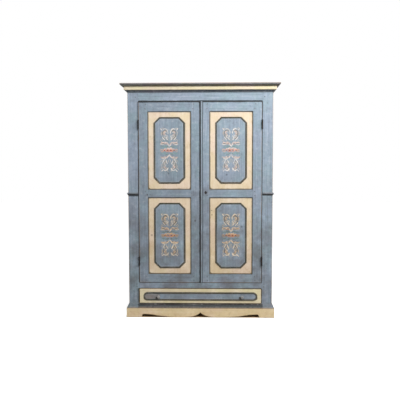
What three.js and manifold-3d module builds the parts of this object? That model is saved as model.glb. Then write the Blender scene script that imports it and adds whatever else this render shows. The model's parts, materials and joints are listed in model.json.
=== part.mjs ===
// Painted two-door tv armoire with a drawer, in millimetres: +X right, +Y to the wall, +Z up.
// The origin is on the floor, under the middle of the whole piece.
import * as THREE from "three";
import { mergeVertices } from "three/addons/utils/BufferGeometryUtils.js";
import Module from "manifold-3d";

const wasm = await Module();
wasm.setup();

// Overall size
const height = 2000;
const bodyWidth = 1234;
const bodyDepth = 530;
const corniceReach = 57;
const corniceHeight = 74;
const plinthHeight = 118;

// Clearances
const jointGap = 0.3;
const mitreGap = 0.2;
const slideGap = 0.5;
const doorSideGap = 2;
const doorEndGap = 1.5;
const meetingGap = 2;
const drawerGap = 1.5;
const cutOverrun = 5;

// Boards of the carcass
const sideThickness = 22;
const frameThickness = 24;
const shelfThickness = 22;
const backThickness = 12;
const rabbetWidth = 11;
const dadoDepth = 8;
const sideTongueWidth = 8;
const sideTongueDepth = 8;
const backPlankCount = 10;
const plankGrooveDepth = 2.5;
const plankGrooveHalfWidth = 2;
const cableHoleRadius = 35;
const cableHoleRise = 80;

// Face frame, from the top down
const frameStileWidth = 90;
const friezeHeight = 73;
const middleRailHeight = 48;
const drawerOpeningHeight = 133;
const bottomRailRevealHeight = 1;
const frameTenonLength = 40;
const frameTenonThickness = 9;
const frameTenonShoulder = 8;

// Shelves and the rise of the cabinet floor that stops the doors
const doorStopRise = 8;
const lowerBayHeight = 268;
const componentBayHeight = 274;
const shelfSetback = 20;
const shelfTongueThickness = 11;

// Cornice and top board
const capHeight = 11;
const topBoardHeight = 22;
const bedLipWidth = 2;
const bedHeight = 20;
const bandInnerReach = 22;
const bandSwellReach = 6;
const bandHeight = 30;
const crownInnerReach = 26;
const crownReach = 53;
const crownHandleShares = [0.25, 0.75];

// Waist moulding
const waistDrop = 2;
const waistHeight = 24;
const waistReach = 9.5;
const waistLipWidth = 3;
const waistNoseHeight = 8;
const waistNoseReach = 2;
const waistStopGap = 5;

// Plinth and its scalloped lower edge
const plinthReach = 20;
const plinthBevelHeight = 35;
const plinthBevelLipWidth = 2;
const footWidth = 130;
const footCurveWidth = 16;
const notchHeight = 24;
const lobeClearHeight = 3;
const lobeOffset = 150;
const apexHeight = 42;
const apronCoverHeight = 4;
const innerHandleShares = { flat: 0.5, steepAlong: 0.81, steepUp: 0.28 };
const outerHandleShares = { flat: 0.32, steepAlong: 0.74, steepUp: 0.57 };
const footHandleShare = 0.55;

// Doors
const doorStileWidth = 78;
const doorTopRailHeight = 84;
const doorLockRailHeight = 67.6;
const doorBottomRailHeight = 73.6;
const doorTenonThickness = 8;
const panelSinkDepth = 8;
const panelThickness = 8;
const panelGrooveDepth = 10;
const tenonGrooveGap = 2;

// Applied tablets and the drawer's strip, which share one moulded edge
const tabletMargin = 52;
const tabletTopMargin = 47;
const tabletCantWidth = 48;
const edgeWidth = 13;
const edgeHeight = 6;
const fieldHeight = 3.5;
const edgeSteps = 6;
const stripHeight = 70;
const stripEndMargin = 36;
const stripDrop = 4.5;

// Astragal bead on the right door
const astragalInset = 2;
const astragalWidth = 15;
const astragalReach = 6;

// Lock, its bolt and the escutcheon
const lockBacksetWidth = 45;
const lockTailWidth = 6.5;
const lockWebThickness = 2.5;
const lockCaseThickness = 13;
const lockCaseHeight = 72;
const keyholeRise = 10;
const keyRadius = 3;
const keySlotHalfWidth = 1.2;
const keySlotDepth = 7;
const boltRise = 20;
const boltHeight = 18;
const boltThickness = 6;
const boltLength = 34;
const boltThrowLength = 10;
const boltNotchRadius = 4;
const escutcheonWidth = 13;
const escutcheonHeight = 21;
const escutcheonThickness = 1.5;

// Lift-off hinges
const upperHingeInset = 193;
const lowerHingeInset = 187;
const knuckleRadius = 7;
const knuckleHeight = 36;
const knuckleFaceGap = 0.5;
const finialHeight = 6;
const finialNeckRadius = 4.5;
const finialRadius = 5;
const hingePinRadius = 3.5;
const hingePinLength = 28;
const leafThickness = 2;
const leafDepth = 18;
const leafPartGap = 0.4;

// Drawer
const drawerProudDepth = 6;
const drawerFrontThickness = 22;
const drawerLapDepth = 8;
const drawerSideThickness = 14;
const drawerBackThickness = 14;
const drawerSideDrop = 6;
const drawerBottomThickness = 6;
const drawerBottomRise = 10;
const drawerBottomGroove = 6;
const drawerRearSpace = 25;
const tailCount = 3;
const tailNeckWidth = 24;
const tailSlopeShare = 0.17;

// Drawer runners
const runnerThickness = 20;
const runnerLapWidth = 20;
const runnerGuideRise = 25;

// Knobs
const knobEndMargin = 165.5;
const knobNeckRadius = 8;
const knobRadius = 14;
const knobLength = 26;
const knobSpigotRadius = 4;
const knobProfileShares = [
  [1, 0],
  [0.95, 0.12],
  [0.92, 0.3],
];
const knobHeadShares = [
  [0.86, 0.42],
  [1, 0.6],
  [0.98, 0.74],
  [0.8, 0.9],
  [0.45, 0.98],
];

// Facets of round stretches
const roundSegments = 16;
const curveSteps = 6;

// Planes and levels worked out from the sizes above
const frontY = (corniceReach - bodyDepth) / 2;
const backY = frontY + bodyDepth;
const frameBackY = frontY + frameThickness;
const insideFrontY = frameBackY + jointGap;
const backPanelY = backY - backThickness;
const insideBackY = backPanelY - jointGap;
const halfWidth = bodyWidth / 2;
const innerHalf = halfWidth - sideThickness;
const halfOpening = halfWidth - frameStileWidth;
const capFoot = height - capHeight;
const carcassTop = capFoot - jointGap;
const corniceFoot = height - corniceHeight;
const doorOpeningTop = corniceFoot - friezeHeight;
const bottomRailTop = plinthHeight + bottomRailRevealHeight;
const bottomRailFoot = apexHeight + apronCoverHeight;
const drawerOpeningTop = bottomRailTop + drawerOpeningHeight;
const middleRailTop = drawerOpeningTop + middleRailHeight;
const floorTop = middleRailTop + doorStopRise;
const componentShelfTop = floorTop + lowerBayHeight + shelfThickness;
const tvShelfTop = componentShelfTop + componentBayHeight + shelfThickness;
const sideArchTop = notchHeight + apronCoverHeight;

// Door levels
const doorFoot = middleRailTop + doorEndGap;
const doorTop = doorOpeningTop - doorEndGap;
const lockCaseDepth = lockBacksetWidth + lockTailWidth;
const doorTenonLength = doorStileWidth - lockCaseDepth - lockWebThickness;
const doorTenonShoulder = panelGrooveDepth + tenonGrooveGap;
const panelHeight = (doorTop - doorFoot - doorTopRailHeight - doorLockRailHeight - doorBottomRailHeight) / 2;
const lowerPanelFoot = doorFoot + doorBottomRailHeight;
const lowerPanelTop = lowerPanelFoot + panelHeight;
const upperPanelFoot = lowerPanelTop + doorLockRailHeight;
const upperPanelTop = upperPanelFoot + panelHeight;
const lockRailMiddle = (lowerPanelTop + upperPanelFoot) / 2;
const waistFoot = lockRailMiddle - waistDrop - waistHeight / 2;
const keyholeLevel = lockRailMiddle + keyholeRise;
const boltLevel = keyholeLevel + boltRise;
const boltMiddleY = frameBackY - lockCaseThickness / 2;

// Hinge places
const hingeX = halfOpening - doorSideGap / 2;
const hingeProud = knuckleRadius + knuckleFaceGap;
const hingeY = frontY - hingeProud;
const upperHingeLevel = doorTop - upperHingeInset;
const lowerHingeLevel = doorFoot + lowerHingeInset;

// Drawer places
const drawerHalf = halfOpening - drawerGap;
const drawerFrontFoot = bottomRailTop + drawerGap;
const drawerFrontTop = drawerOpeningTop - drawerGap;
const drawerFaceY = frontY - drawerProudDepth;
const drawerFrontBackY = drawerFaceY + drawerFrontThickness;
const drawerSideFoot = bottomRailTop + slideGap;
const drawerSideTop = drawerFrontTop - drawerSideDrop;
const drawerRearY = insideBackY - drawerRearSpace;
const drawerBackFaceY = drawerRearY - drawerBackThickness;
const drawerBottomFoot = drawerSideFoot + drawerBottomRise;
const drawerBottomTop = drawerBottomFoot + drawerBottomThickness;
const drawerBottomFrontY = drawerFrontBackY - drawerBottomGroove;
const stripMiddle = (drawerFrontFoot + drawerFrontTop) / 2 - stripDrop;
const stripHalf = drawerHalf - stripEndMargin;
const knobX = drawerHalf - knobEndMargin;
const stripFaceY = drawerFaceY - jointGap - fieldHeight;

const paints = {
  blue: { color: 0x8fa1b0, roughness: 0.6, metalness: 0 },
  deepBlue: { color: 0x5c6a74, roughness: 0.6, metalness: 0 },
  cream: { color: 0xe3cfae, roughness: 0.62, metalness: 0 },
  wood: { color: 0xab885f, roughness: 0.75, metalness: 0 },
  iron: { color: 0x3a3733, roughness: 0.55, metalness: 0.8 },
};

// A closed geometry as a solid whose faces point out
function solidOf(geometry) {
  const bare = geometry.index ? geometry.toNonIndexed() : geometry.clone();
  bare.deleteAttribute("normal");
  bare.deleteAttribute("uv");
  const merged = mergeVertices(bare);
  const corners = merged.index.array;
  const kept = [];
  for (let i = 0; i < corners.length; i += 3) {
    const [a, b, c] = corners.slice(i, i + 3);
    if (a !== b && b !== c && c !== a) kept.push([a, b, c]);
  }
  const vertProperties = merged.attributes.position.array;
  const build = (faces) => {
    const triVerts = new Uint32Array(faces.flat());
    return new wasm.Manifold(new wasm.Mesh({ numProp: 3, vertProperties, triVerts }));
  };
  const solid = build(kept);
  return solid.volume() < 0 ? build(kept.map(([a, b, c]) => [a, c, b])) : solid;
}

// A board between two corners, given in any order
function board(x0, x1, y0, y1, z0, z1) {
  const box = new THREE.BoxGeometry(Math.abs(x1 - x0), Math.abs(y1 - y0), Math.abs(z1 - z0));
  box.translate((x0 + x1) / 2, (y0 + y1) / 2, (z0 + z1) / 2);
  return solidOf(box);
}

// The world directions of an outline's two coordinates and of its thickness, for a prism along each axis
const prismBases = {
  x: [new THREE.Vector3(0, 1, 0), new THREE.Vector3(0, 0, 1), new THREE.Vector3(1, 0, 0)],
  y: [new THREE.Vector3(1, 0, 0), new THREE.Vector3(0, 0, 1), new THREE.Vector3(0, -1, 0)],
  z: [new THREE.Vector3(1, 0, 0), new THREE.Vector3(0, 1, 0), new THREE.Vector3(0, 0, 1)],
};

// An outline as a prism along an axis: points are [y, z] for x, [x, z] for y and [x, y] for z
function prism(axis, outline, from, to) {
  const shape = new THREE.Shape(outline.map(([a, b]) => new THREE.Vector2(a, b)));
  const depth = Math.abs(to - from);
  const geometry = new THREE.ExtrudeGeometry(shape, { depth, bevelEnabled: false });
  geometry.applyMatrix4(new THREE.Matrix4().makeBasis(...prismBases[axis]));
  const [low, high] = [Math.min(from, to), Math.max(from, to)];
  const shift = new THREE.Vector3();
  shift[axis] = axis === "y" ? high : low;
  geometry.translate(shift.x, shift.y, shift.z);
  return solidOf(geometry);
}

// A solid skin over rings of equal point count, closed at both ends with the outline's triangles
function skin(rings, outline) {
  const flat = outline.map(([a, b]) => new THREE.Vector2(a, b));
  if (THREE.ShapeUtils.isClockWise(flat)) {
    flat.reverse();
    rings = rings.map((ring) => [...ring].reverse());
  }
  const count = flat.length;
  const last = (rings.length - 1) * count;
  const index = [];
  for (let start = 0; start < last; start += count) {
    for (let i = 0; i < count; i++) {
      const j = (i + 1) % count;
      index.push(start + i, start + j, start + count + j);
      index.push(start + i, start + count + j, start + count + i);
    }
  }
  for (const [a, b, c] of THREE.ShapeUtils.triangulateShape(flat, [])) {
    index.push(a, c, b);
    index.push(last + a, last + b, last + c);
  }
  const geometry = new THREE.BufferGeometry();
  geometry.setAttribute("position", new THREE.Float32BufferAttribute(rings.flat(2), 3));
  geometry.setIndex(index);
  return solidOf(geometry);
}

// A moulding: a closed [reach, level] profile carried past stations on the wall line, each with the
// direction in which its reach goes, so that a diagonal direction makes a mitre
function moulding(profile, stations) {
  const rings = stations.map(({ at, out }) =>
    profile.map(([reach, level]) => [at[0] + out[0] * reach, at[1] + out[1] * reach, level]),
  );
  return skin(rings, profile);
}

// Points on a stretch of an ellipse, angles in degrees from the first axis
function arc(middle, radii, from, to, steps = curveSteps) {
  return Array.from({ length: steps + 1 }, (_, i) => {
    const angle = THREE.MathUtils.degToRad(from + ((to - from) * i) / steps);
    return [middle[0] + radii[0] * Math.cos(angle), middle[1] + radii[1] * Math.sin(angle)];
  });
}

// Points along a cubic curve
function bend(start, startHandle, endHandle, end, steps = curveSteps) {
  const vectors = [start, startHandle, endHandle, end].map(([a, b]) => new THREE.Vector2(a, b));
  return new THREE.CubicBezierCurve(...vectors).getPoints(steps).map(({ x, y }) => [x, y]);
}

// A rounded solid turned about Z from [radius, level] points that start and end on the axis
function turned(profile) {
  const points = profile.map(([radius, level]) => new THREE.Vector2(radius, level));
  const lathe = new THREE.LatheGeometry(points, roundSegments);
  lathe.rotateX(Math.PI / 2);
  return solidOf(lathe);
}

// A round rod along Y about a place in the XZ plane
function rodAlongY(x, z, radius, y0, y1) {
  return prism("y", arc([x, z], [radius, radius], 0, 360, roundSegments).slice(1), y0, y1);
}

function joined(solids) {
  return solids.reduce((whole, solid) => whole.add(solid));
}

function cutBy(solid, cutters) {
  return cutters.reduce((rest, cutter) => rest.subtract(cutter), solid);
}

const armoire = new THREE.Group();
armoire.name = "tv_armoire";

function pivotAt(name, x, y, z) {
  const pivot = new THREE.Group();
  pivot.name = name;
  pivot.position.set(x, y, z);
  armoire.add(pivot);
  return pivot;
}

const carcass = pivotAt("carcass", 0, 0, 0);
const drawer = pivotAt("drawer", 0, 0, 0);
const leftDoor = pivotAt("left_door", -hingeX, hingeY, 0);
const rightDoor = pivotAt("right_door", hingeX, hingeY, 0);

// Adds one named piece to its group. Its solid is given about the place where the piece sits.
function addPiece(group, name, solid, paint, place = new THREE.Vector3()) {
  const made = solid.getMesh();
  const indexed = new THREE.BufferGeometry();
  indexed.setAttribute("position", new THREE.BufferAttribute(made.vertProperties, made.numProp));
  indexed.setIndex(new THREE.BufferAttribute(made.triVerts, 1));
  const geometry = indexed.toNonIndexed();
  geometry.computeVertexNormals();
  const piece = new THREE.Mesh(geometry, new THREE.MeshStandardMaterial(paint));
  piece.name = name;
  piece.position.copy(place).sub(group.position);
  group.add(piece);
  return piece;
}

// Carcass side: feet at both ends, housings for the boards, a rabbet for the back, a tongue for the frame
function carcassSide(side) {
  const frontFootY = frontY - plinthReach + footWidth;
  const rearFootY = backY - footWidth;
  const outline = [
    [insideFrontY, 0],
    [frontFootY, 0],
    [frontFootY, sideArchTop],
    [rearFootY, sideArchTop],
    [rearFootY, 0],
    [backY, 0],
    [backY, carcassTop],
    [insideFrontY, carcassTop],
  ];
  const tongueInner = innerHalf + (sideThickness - sideTongueWidth) / 2;
  const tongue = board(
    side * tongueInner,
    side * (tongueInner + sideTongueWidth),
    insideFrontY + cutOverrun,
    frameBackY - sideTongueDepth,
    0,
    carcassTop,
  );
  const housings = [floorTop, componentShelfTop, tvShelfTop].map((top) =>
    board(
      side * (innerHalf - cutOverrun),
      side * (innerHalf + dadoDepth),
      insideFrontY,
      backY,
      top - shelfThickness - jointGap,
      top - shelfThickness + shelfTongueThickness + jointGap,
    ),
  );
  const rabbet = board(
    side * (innerHalf - cutOverrun),
    side * (innerHalf + rabbetWidth),
    insideBackY,
    backY + cutOverrun,
    -cutOverrun,
    height,
  );
  const plain = prism("x", outline, side * innerHalf, side * halfWidth);
  return cutBy(joined([plain, tongue]), [...housings, rabbet]);
}

// Back panel of grooved planks with two cable outlets
function backPanel() {
  const half = innerHalf + rabbetWidth - jointGap;
  const plank = (2 * half) / backPlankCount;
  const grooves = Array.from({ length: backPlankCount - 1 }, (_, i) => {
    const x = plank * (i + 1) - half;
    const outline = [
      [x - plankGrooveHalfWidth, backPanelY],
      [x - plankGrooveHalfWidth, backPanelY - plankGrooveDepth],
      [x + plankGrooveHalfWidth, backPanelY - plankGrooveDepth],
      [x + plankGrooveHalfWidth, backPanelY],
      [x, backPanelY + plankGrooveDepth],
    ];
    return prism("z", outline, floorTop, carcassTop + cutOverrun);
  });
  const outlets = [componentShelfTop, tvShelfTop].map((top) =>
    rodAlongY(plank / 2, top + cableHoleRise, cableHoleRadius, backPanelY - cutOverrun, backY + cutOverrun),
  );
  const plain = board(-half, half, backPanelY, backY, bottomRailFoot, carcassTop);
  return cutBy(plain, [...grooves, ...outlets]);
}

// A board that meets both sides at a shoulder and is housed in them by a tongue along its lower face
function housedBoard(top, setback) {
  const shoulder = innerHalf - jointGap;
  const tongueEnd = innerHalf + dadoDepth - jointGap;
  const foot = top - shelfThickness;
  const tongueTop = foot + shelfTongueThickness;
  const [y0, y1] = [insideFrontY + setback, insideBackY];
  const plain = board(-shoulder, shoulder, y0, y1, foot, top);
  return joined([plain, board(-tongueEnd, tongueEnd, y0, y1, foot, tongueTop)]);
}

const frameTenonY = frontY + (frameThickness - frameTenonThickness) / 2;

// A tenon or, grown by a clearance, its mortise, from a shoulder at x0 to its end at x1
function frameTenon(x0, x1, foot, top, grow) {
  const [y0, y1] = [frameTenonY - grow, frameTenonY + frameTenonThickness + grow];
  return board(x0, x1, y0, y1, foot + frameTenonShoulder - grow, top - frameTenonShoulder + grow);
}

const frameRails = {
  top_rail: [doorOpeningTop, carcassTop],
  middle_rail: [drawerOpeningTop, middleRailTop],
  bottom_rail: [bottomRailFoot, bottomRailTop],
};

function frameRail([foot, top]) {
  const shoulder = halfOpening - jointGap;
  const end = halfOpening + frameTenonLength - jointGap;
  const tenons = frameTenon(-end, end, foot, top, 0);
  return joined([board(-shoulder, shoulder, frontY, frameBackY, foot, top), tenons]);
}

function frameStileBoard(side) {
  const mouth = side * (halfOpening - cutOverrun);
  const end = side * (halfOpening + frameTenonLength);
  const mortiseAt = ([foot, top]) => frameTenon(mouth, end, foot, top, jointGap);
  const mortises = Object.values(frameRails).map(mortiseAt);
  const tongueInner = innerHalf + (sideThickness - sideTongueWidth) / 2;
  const groove = board(
    side * (tongueInner - jointGap),
    side * (tongueInner + sideTongueWidth + jointGap),
    frameBackY - sideTongueDepth - jointGap,
    frameBackY + cutOverrun,
    -cutOverrun,
    height,
  );
  const leafSeats = [upperHingeLevel, lowerHingeLevel].map((level) =>
    board(
      side * (halfOpening - cutOverrun),
      side * (hingeX + leafPartGap / 2 + leafThickness + jointGap),
      frontY - cutOverrun,
      frontY + leafDepth + jointGap,
      level - knuckleHeight - jointGap,
      level + jointGap,
    ),
  );
  const plain = board(side * halfOpening, side * halfWidth, frontY, frameBackY, 0, carcassTop);
  return cutBy(plain, [...mortises, groove, ...leafSeats]);
}

for (const [word, side] of [["left", -1], ["right", 1]]) {
  addPiece(carcass, `${word}_side`, carcassSide(side), paints.blue);
  addPiece(carcass, `${word}_stile`, frameStileBoard(side), paints.blue);
}
for (const [name, levels] of Object.entries(frameRails)) {
  addPiece(carcass, name, frameRail(levels), paints.blue);
}
addPiece(carcass, "back_panel", backPanel(), paints.wood);
addPiece(carcass, "cabinet_floor", housedBoard(floorTop, 0), paints.wood);
addPiece(carcass, "component_shelf", housedBoard(componentShelfTop, shelfSetback), paints.wood);
addPiece(carcass, "tv_shelf", housedBoard(tvShelfTop, shelfSetback), paints.wood);

// Top board: a thin edge that caps the cornice, and a block that drops inside the carcass
function topBoard() {
  const half = halfWidth + corniceReach;
  const blockHalf = innerHalf - jointGap;
  const cap = board(-half, half, frontY - corniceReach, backY, capFoot, height);
  const blockFoot = height - topBoardHeight;
  const block = board(-blockHalf, blockHalf, insideFrontY, insideBackY, blockFoot, capFoot + cutOverrun);
  return joined([cap, block]);
}

// Cornice profile from the wall out: bed hollow, swelling band, crown curve under the cap
function corniceProfile() {
  const bandFoot = corniceFoot + bedHeight;
  const bandTop = bandFoot + bandHeight;
  const bandMiddle = [bandInnerReach, bandFoot + bandHeight / 2];
  const crownRise = carcassTop - bandTop;
  const crownRun = crownReach - crownInnerReach;
  const [nearShare, farShare] = crownHandleShares;
  return [
    [jointGap, corniceFoot],
    ...arc([bandInnerReach, corniceFoot], [bandInnerReach - bedLipWidth, bedHeight], 180, 90),
    ...arc(bandMiddle, [bandSwellReach, bandHeight / 2], -90, 90).slice(1, -1),
    ...bend(
      [crownInnerReach, bandTop],
      [crownInnerReach + crownRun * farShare, bandTop + crownRise * nearShare * nearShare],
      [crownInnerReach + crownRun * nearShare, bandTop + crownRise * farShare],
      [crownReach, carcassTop],
    ),
    [jointGap, carcassTop],
  ];
}

// A run across the front, mitred at both ends, clear of its neighbours
function frontRun(profile) {
  return moulding(profile, [
    { at: [-halfWidth + mitreGap, frontY], out: [-1, -1] },
    { at: [halfWidth - mitreGap, frontY], out: [1, -1] },
  ]);
}

// A run along one side, mitred at the front corner
function sideRun(profile, side) {
  return moulding(profile, [
    { at: [side * halfWidth, backY], out: [side, 0] },
    { at: [side * halfWidth, frontY + mitreGap], out: [side, -1] },
  ]);
}

// Waist moulding profile: an under-hollow, a round nose and a weathered top
function waistProfile() {
  const noseInner = waistReach - waistNoseReach;
  const top = waistFoot + waistHeight;
  const noseMiddle = waistFoot + waistHeight / 2;
  const noseFoot = noseMiddle - waistNoseHeight / 2;
  return [
    [jointGap, waistFoot],
    ...arc([noseInner, waistFoot], [noseInner - waistLipWidth, noseFoot - waistFoot], 180, 90),
    ...arc([noseInner, noseMiddle], [waistNoseReach, waistNoseHeight / 2], -90, 90).slice(1),
    [waistLipWidth, top],
    [jointGap, top],
  ];
}

// One length along the carcass side that turns the corner and stops short of the door
function waistMoulding(side) {
  return moulding(waistProfile(), [
    { at: [side * halfWidth, backY], out: [side, 0] },
    { at: [side * halfWidth, frontY], out: [side, -1] },
    { at: [side * (halfOpening + waistStopGap), frontY], out: [0, -1] },
  ]);
}

function plinthProfile() {
  const shoulder = plinthHeight - plinthBevelHeight;
  return [
    [jointGap, 0],
    [plinthReach, 0],
    [plinthReach, shoulder],
    [plinthBevelLipWidth, plinthHeight],
    [jointGap, plinthHeight],
  ];
}

// The curve from a foot's floor edge up its inner side to the notch, at the right-hand end
function footEdge(footInner) {
  const notchX = footInner - footCurveWidth;
  return bend(
    [footInner, 0],
    [footInner, notchHeight * footHandleShare],
    [notchX + footCurveWidth * footHandleShare, notchHeight],
    [notchX, notchHeight],
  );
}

// The swept edge from the notch down to the lobe, at the right-hand end
function lobeEdge(notchX, lobeX) {
  const run = notchX - lobeX;
  const drop = notchHeight - lobeClearHeight;
  const { flat, steepAlong, steepUp } = outerHandleShares;
  return bend(
    [notchX, notchHeight],
    [lobeX + run * steepAlong, lobeClearHeight + drop * steepUp],
    [lobeX + run * flat, lobeClearHeight],
    [lobeX, lobeClearHeight],
  );
}

// The curve from the lobe up to the pointed middle
function apexEdge() {
  const rise = apexHeight - lobeClearHeight;
  const { flat, steepAlong, steepUp } = innerHandleShares;
  return bend(
    [lobeOffset, lobeClearHeight],
    [lobeOffset * flat, lobeClearHeight],
    [lobeOffset * (1 - steepAlong), lobeClearHeight + rise * steepUp],
    [0, apexHeight],
  );
}

// A plinth board's face outline, mirrored about its middle
function plinthOutline(half, halfCurves) {
  const right = [[half + cutOverrun, plinthHeight + cutOverrun], [half + cutOverrun, 0], ...halfCurves];
  const left = right.map(([a, b]) => [-a, b]).reverse();
  return [...right, ...left.slice(right.at(-1)[0] === 0 ? 1 : 0)];
}

function frontPlinth() {
  const half = halfWidth + plinthReach;
  const footInner = half - footWidth;
  const curves = [
    ...footEdge(footInner),
    ...lobeEdge(footInner - footCurveWidth, lobeOffset).slice(1),
    ...apexEdge().slice(1),
  ];
  const face = prism("y", plinthOutline(half, curves), frontY - plinthReach - cutOverrun, frontY);
  return frontRun(plinthProfile()).intersect(face);
}

function sidePlinth(side) {
  const middleY = (frontY - plinthReach + backY) / 2;
  const half = backY - middleY;
  const footInner = half - footWidth;
  const curves = [...footEdge(footInner), ...lobeEdge(footInner - footCurveWidth, 0).slice(1)];
  const outline = plinthOutline(half, curves).map(([along, level]) => [middleY + along, level]);
  const face = prism("x", outline, side * halfWidth, side * (halfWidth + plinthReach + cutOverrun));
  return sideRun(plinthProfile(), side).intersect(face);
}

addPiece(carcass, "top_board", topBoard(), paints.blue);
addPiece(carcass, "cornice_front", frontRun(corniceProfile()), paints.cream);
addPiece(carcass, "plinth_front", frontPlinth(), paints.cream);
for (const [word, side] of [["left", -1], ["right", 1]]) {
  addPiece(carcass, `cornice_${word}`, sideRun(corniceProfile(), side), paints.cream);
  addPiece(carcass, `waist_moulding_${word}`, waistMoulding(side), paints.deepBlue);
  addPiece(carcass, `plinth_${word}`, sidePlinth(side), paints.cream);
}

// A drawer runner: the strip under the drawer's side, the guide beside it and the stop behind it
function runner(side) {
  const outer = side * (innerHalf - jointGap);
  const guideInner = side * (drawerHalf + slideGap);
  const stripInner = side * (drawerHalf - runnerLapWidth);
  const guideTop = bottomRailTop + runnerGuideRise;
  const foot = bottomRailTop - runnerThickness;
  const strip = board(outer, stripInner, insideFrontY, insideBackY, foot, bottomRailTop);
  const guide = board(outer, guideInner, insideFrontY, insideBackY, foot, guideTop);
  const stop = board(outer, stripInner, drawerRearY + slideGap, insideBackY, foot, guideTop);
  return joined([strip, guide, stop]);
}

addPiece(carcass, "drawer_runner_left", runner(-1), paints.wood);
addPiece(carcass, "drawer_runner_right", runner(1), paints.wood);

const doorTenonY = frontY + (frameThickness - doorTenonThickness) / 2;

function doorTenon(x0, x1, foot, top, grow) {
  const [y0, y1] = [doorTenonY - grow, doorTenonY + doorTenonThickness + grow];
  return board(x0, x1, y0, y1, foot + doorTenonShoulder - grow, top - doorTenonShoulder + grow);
}

const doorRails = {
  top_rail: [upperPanelTop, doorTop],
  lock_rail: [lowerPanelTop, upperPanelFoot],
  bottom_rail: [doorFoot, lowerPanelFoot],
};
const doorPanels = {
  upper: [upperPanelFoot, upperPanelTop],
  lower: [lowerPanelFoot, lowerPanelTop],
};
const lockSight = meetingGap / 2 + doorStileWidth;
const hingeSight = halfOpening - doorSideGap - doorStileWidth;
const panelFaceY = frontY + panelSinkDepth;

// The groove that a panel's edge sits in, cut past its sight lines by the groove's depth
function panelSpace(side, [foot, top], grow) {
  const spread = panelGrooveDepth - jointGap + grow;
  return board(
    side * (lockSight - spread),
    side * (hingeSight + spread),
    panelFaceY - grow,
    panelFaceY + panelThickness + grow,
    foot - spread,
    top + spread,
  );
}

// A door stile between its outer edge and its sight line, with mortises and panel grooves
function doorStileBoard(side, edge, sight) {
  const inward = Math.sign(edge - sight);
  const mouth = side * (sight - inward * cutOverrun);
  const end = side * (sight + inward * doorTenonLength);
  const mortiseAt = ([foot, top]) => doorTenon(mouth, end, foot, top, jointGap);
  const mortises = Object.values(doorRails).map(mortiseAt);
  const grooves = Object.values(doorPanels).map((levels) => panelSpace(side, levels, jointGap));
  const plain = board(side * edge, side * sight, frontY, frameBackY, doorFoot, doorTop);
  return cutBy(plain, [...mortises, ...grooves]);
}

// Seats for the door halves of both hinges
function doorLeafSeats(side) {
  return [upperHingeLevel, lowerHingeLevel].map((level) =>
    board(
      side * (hingeX + cutOverrun),
      side * (hingeX - leafPartGap / 2 - leafThickness - jointGap),
      frontY - cutOverrun,
      frontY + leafDepth + jointGap,
      level - jointGap,
      level + knuckleHeight + jointGap,
    ),
  );
}

function doorRail(side, [foot, top]) {
  const [low, high] = [lockSight + jointGap, hingeSight - jointGap];
  const reach = doorTenonLength - jointGap;
  const tenons = doorTenon(side * (lockSight - reach), side * (hingeSight + reach), foot, top, 0);
  const plain = joined([board(side * low, side * high, frontY, frameBackY, foot, top), tenons]);
  return cutBy(plain, Object.values(doorPanels).map((levels) => panelSpace(side, levels, jointGap)));
}

// An applied board with a rounded raised edge. outlineAt gives its outline at an inset, faceY its seat.
function appliedBoard(outlineAt, faceY) {
  const seatY = faceY - jointGap;
  const steps = arc([0, 0], [edgeWidth / 2, edgeHeight - fieldHeight], 180, 0, edgeSteps);
  const levels = [[0, 0], ...steps.map(([along, rise]) => [edgeWidth / 2 + along, fieldHeight + rise])];
  const rings = levels.map(([inset, level]) => outlineAt(inset).map(([x, z]) => [x, seatY - level, z]));
  return skin(rings, outlineAt(0));
}

// An oblong with canted corners, drawn in by an inset
function cantedOutline(middle, halves, cant, inset) {
  const [a, b] = halves.map((half) => half - inset);
  const cut = cant - inset * (2 - Math.SQRT2);
  const corners = [[a, cut - b], [a, b - cut], [a - cut, b], [cut - a, b]];
  const outline = [...corners, ...corners.map(([x, z]) => [-x, -z])];
  return outline.map(([x, z]) => [middle[0] + x, middle[1] + z]);
}

function tablet(side, [foot, top]) {
  const [low, high] = [foot + tabletMargin, top - tabletTopMargin];
  const middle = [(side * (lockSight + hingeSight)) / 2, (low + high) / 2];
  const halves = [(hingeSight - lockSight) / 2 - tabletMargin, (high - low) / 2];
  return appliedBoard((inset) => cantedOutline(middle, halves, tabletCantWidth, inset), panelFaceY);
}

// A keyhole: a round eye and a slot below it, grown by a clearance
function keyhole(grow, y0, y1) {
  const middleX = meetingGap / 2 + lockBacksetWidth;
  const slotHalf = keySlotHalfWidth + grow;
  const eye = rodAlongY(middleX, keyholeLevel, keyRadius + grow, y0, y1);
  const slotFoot = keyholeLevel - keySlotDepth - grow;
  return joined([eye, board(middleX - slotHalf, middleX + slotHalf, y0, y1, slotFoot, keyholeLevel)]);
}

// The space of the lock case in the right lock stile
function lockSpace(grow) {
  const edge = meetingGap / 2;
  return board(
    grow ? edge - cutOverrun : edge,
    edge + lockCaseDepth + grow,
    frameBackY - lockCaseThickness - grow,
    grow ? frameBackY + cutOverrun : frameBackY,
    keyholeLevel - lockCaseHeight / 2 - grow,
    keyholeLevel + lockCaseHeight / 2 + grow,
  );
}

// The bolt's own box from its retracted tip, or, grown and lengthened by its throw, the space it slides in
function boltSpace(tip, end, grow) {
  return board(
    tip,
    end,
    boltMiddleY - boltThickness / 2 - grow,
    boltMiddleY + boltThickness / 2 + grow,
    boltLevel - boltHeight / 2 - grow,
    boltLevel + boltHeight / 2 + grow,
  );
}

const boltTip = meetingGap / 2 + slideGap;
const boltEnd = boltTip + boltLength;

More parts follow.
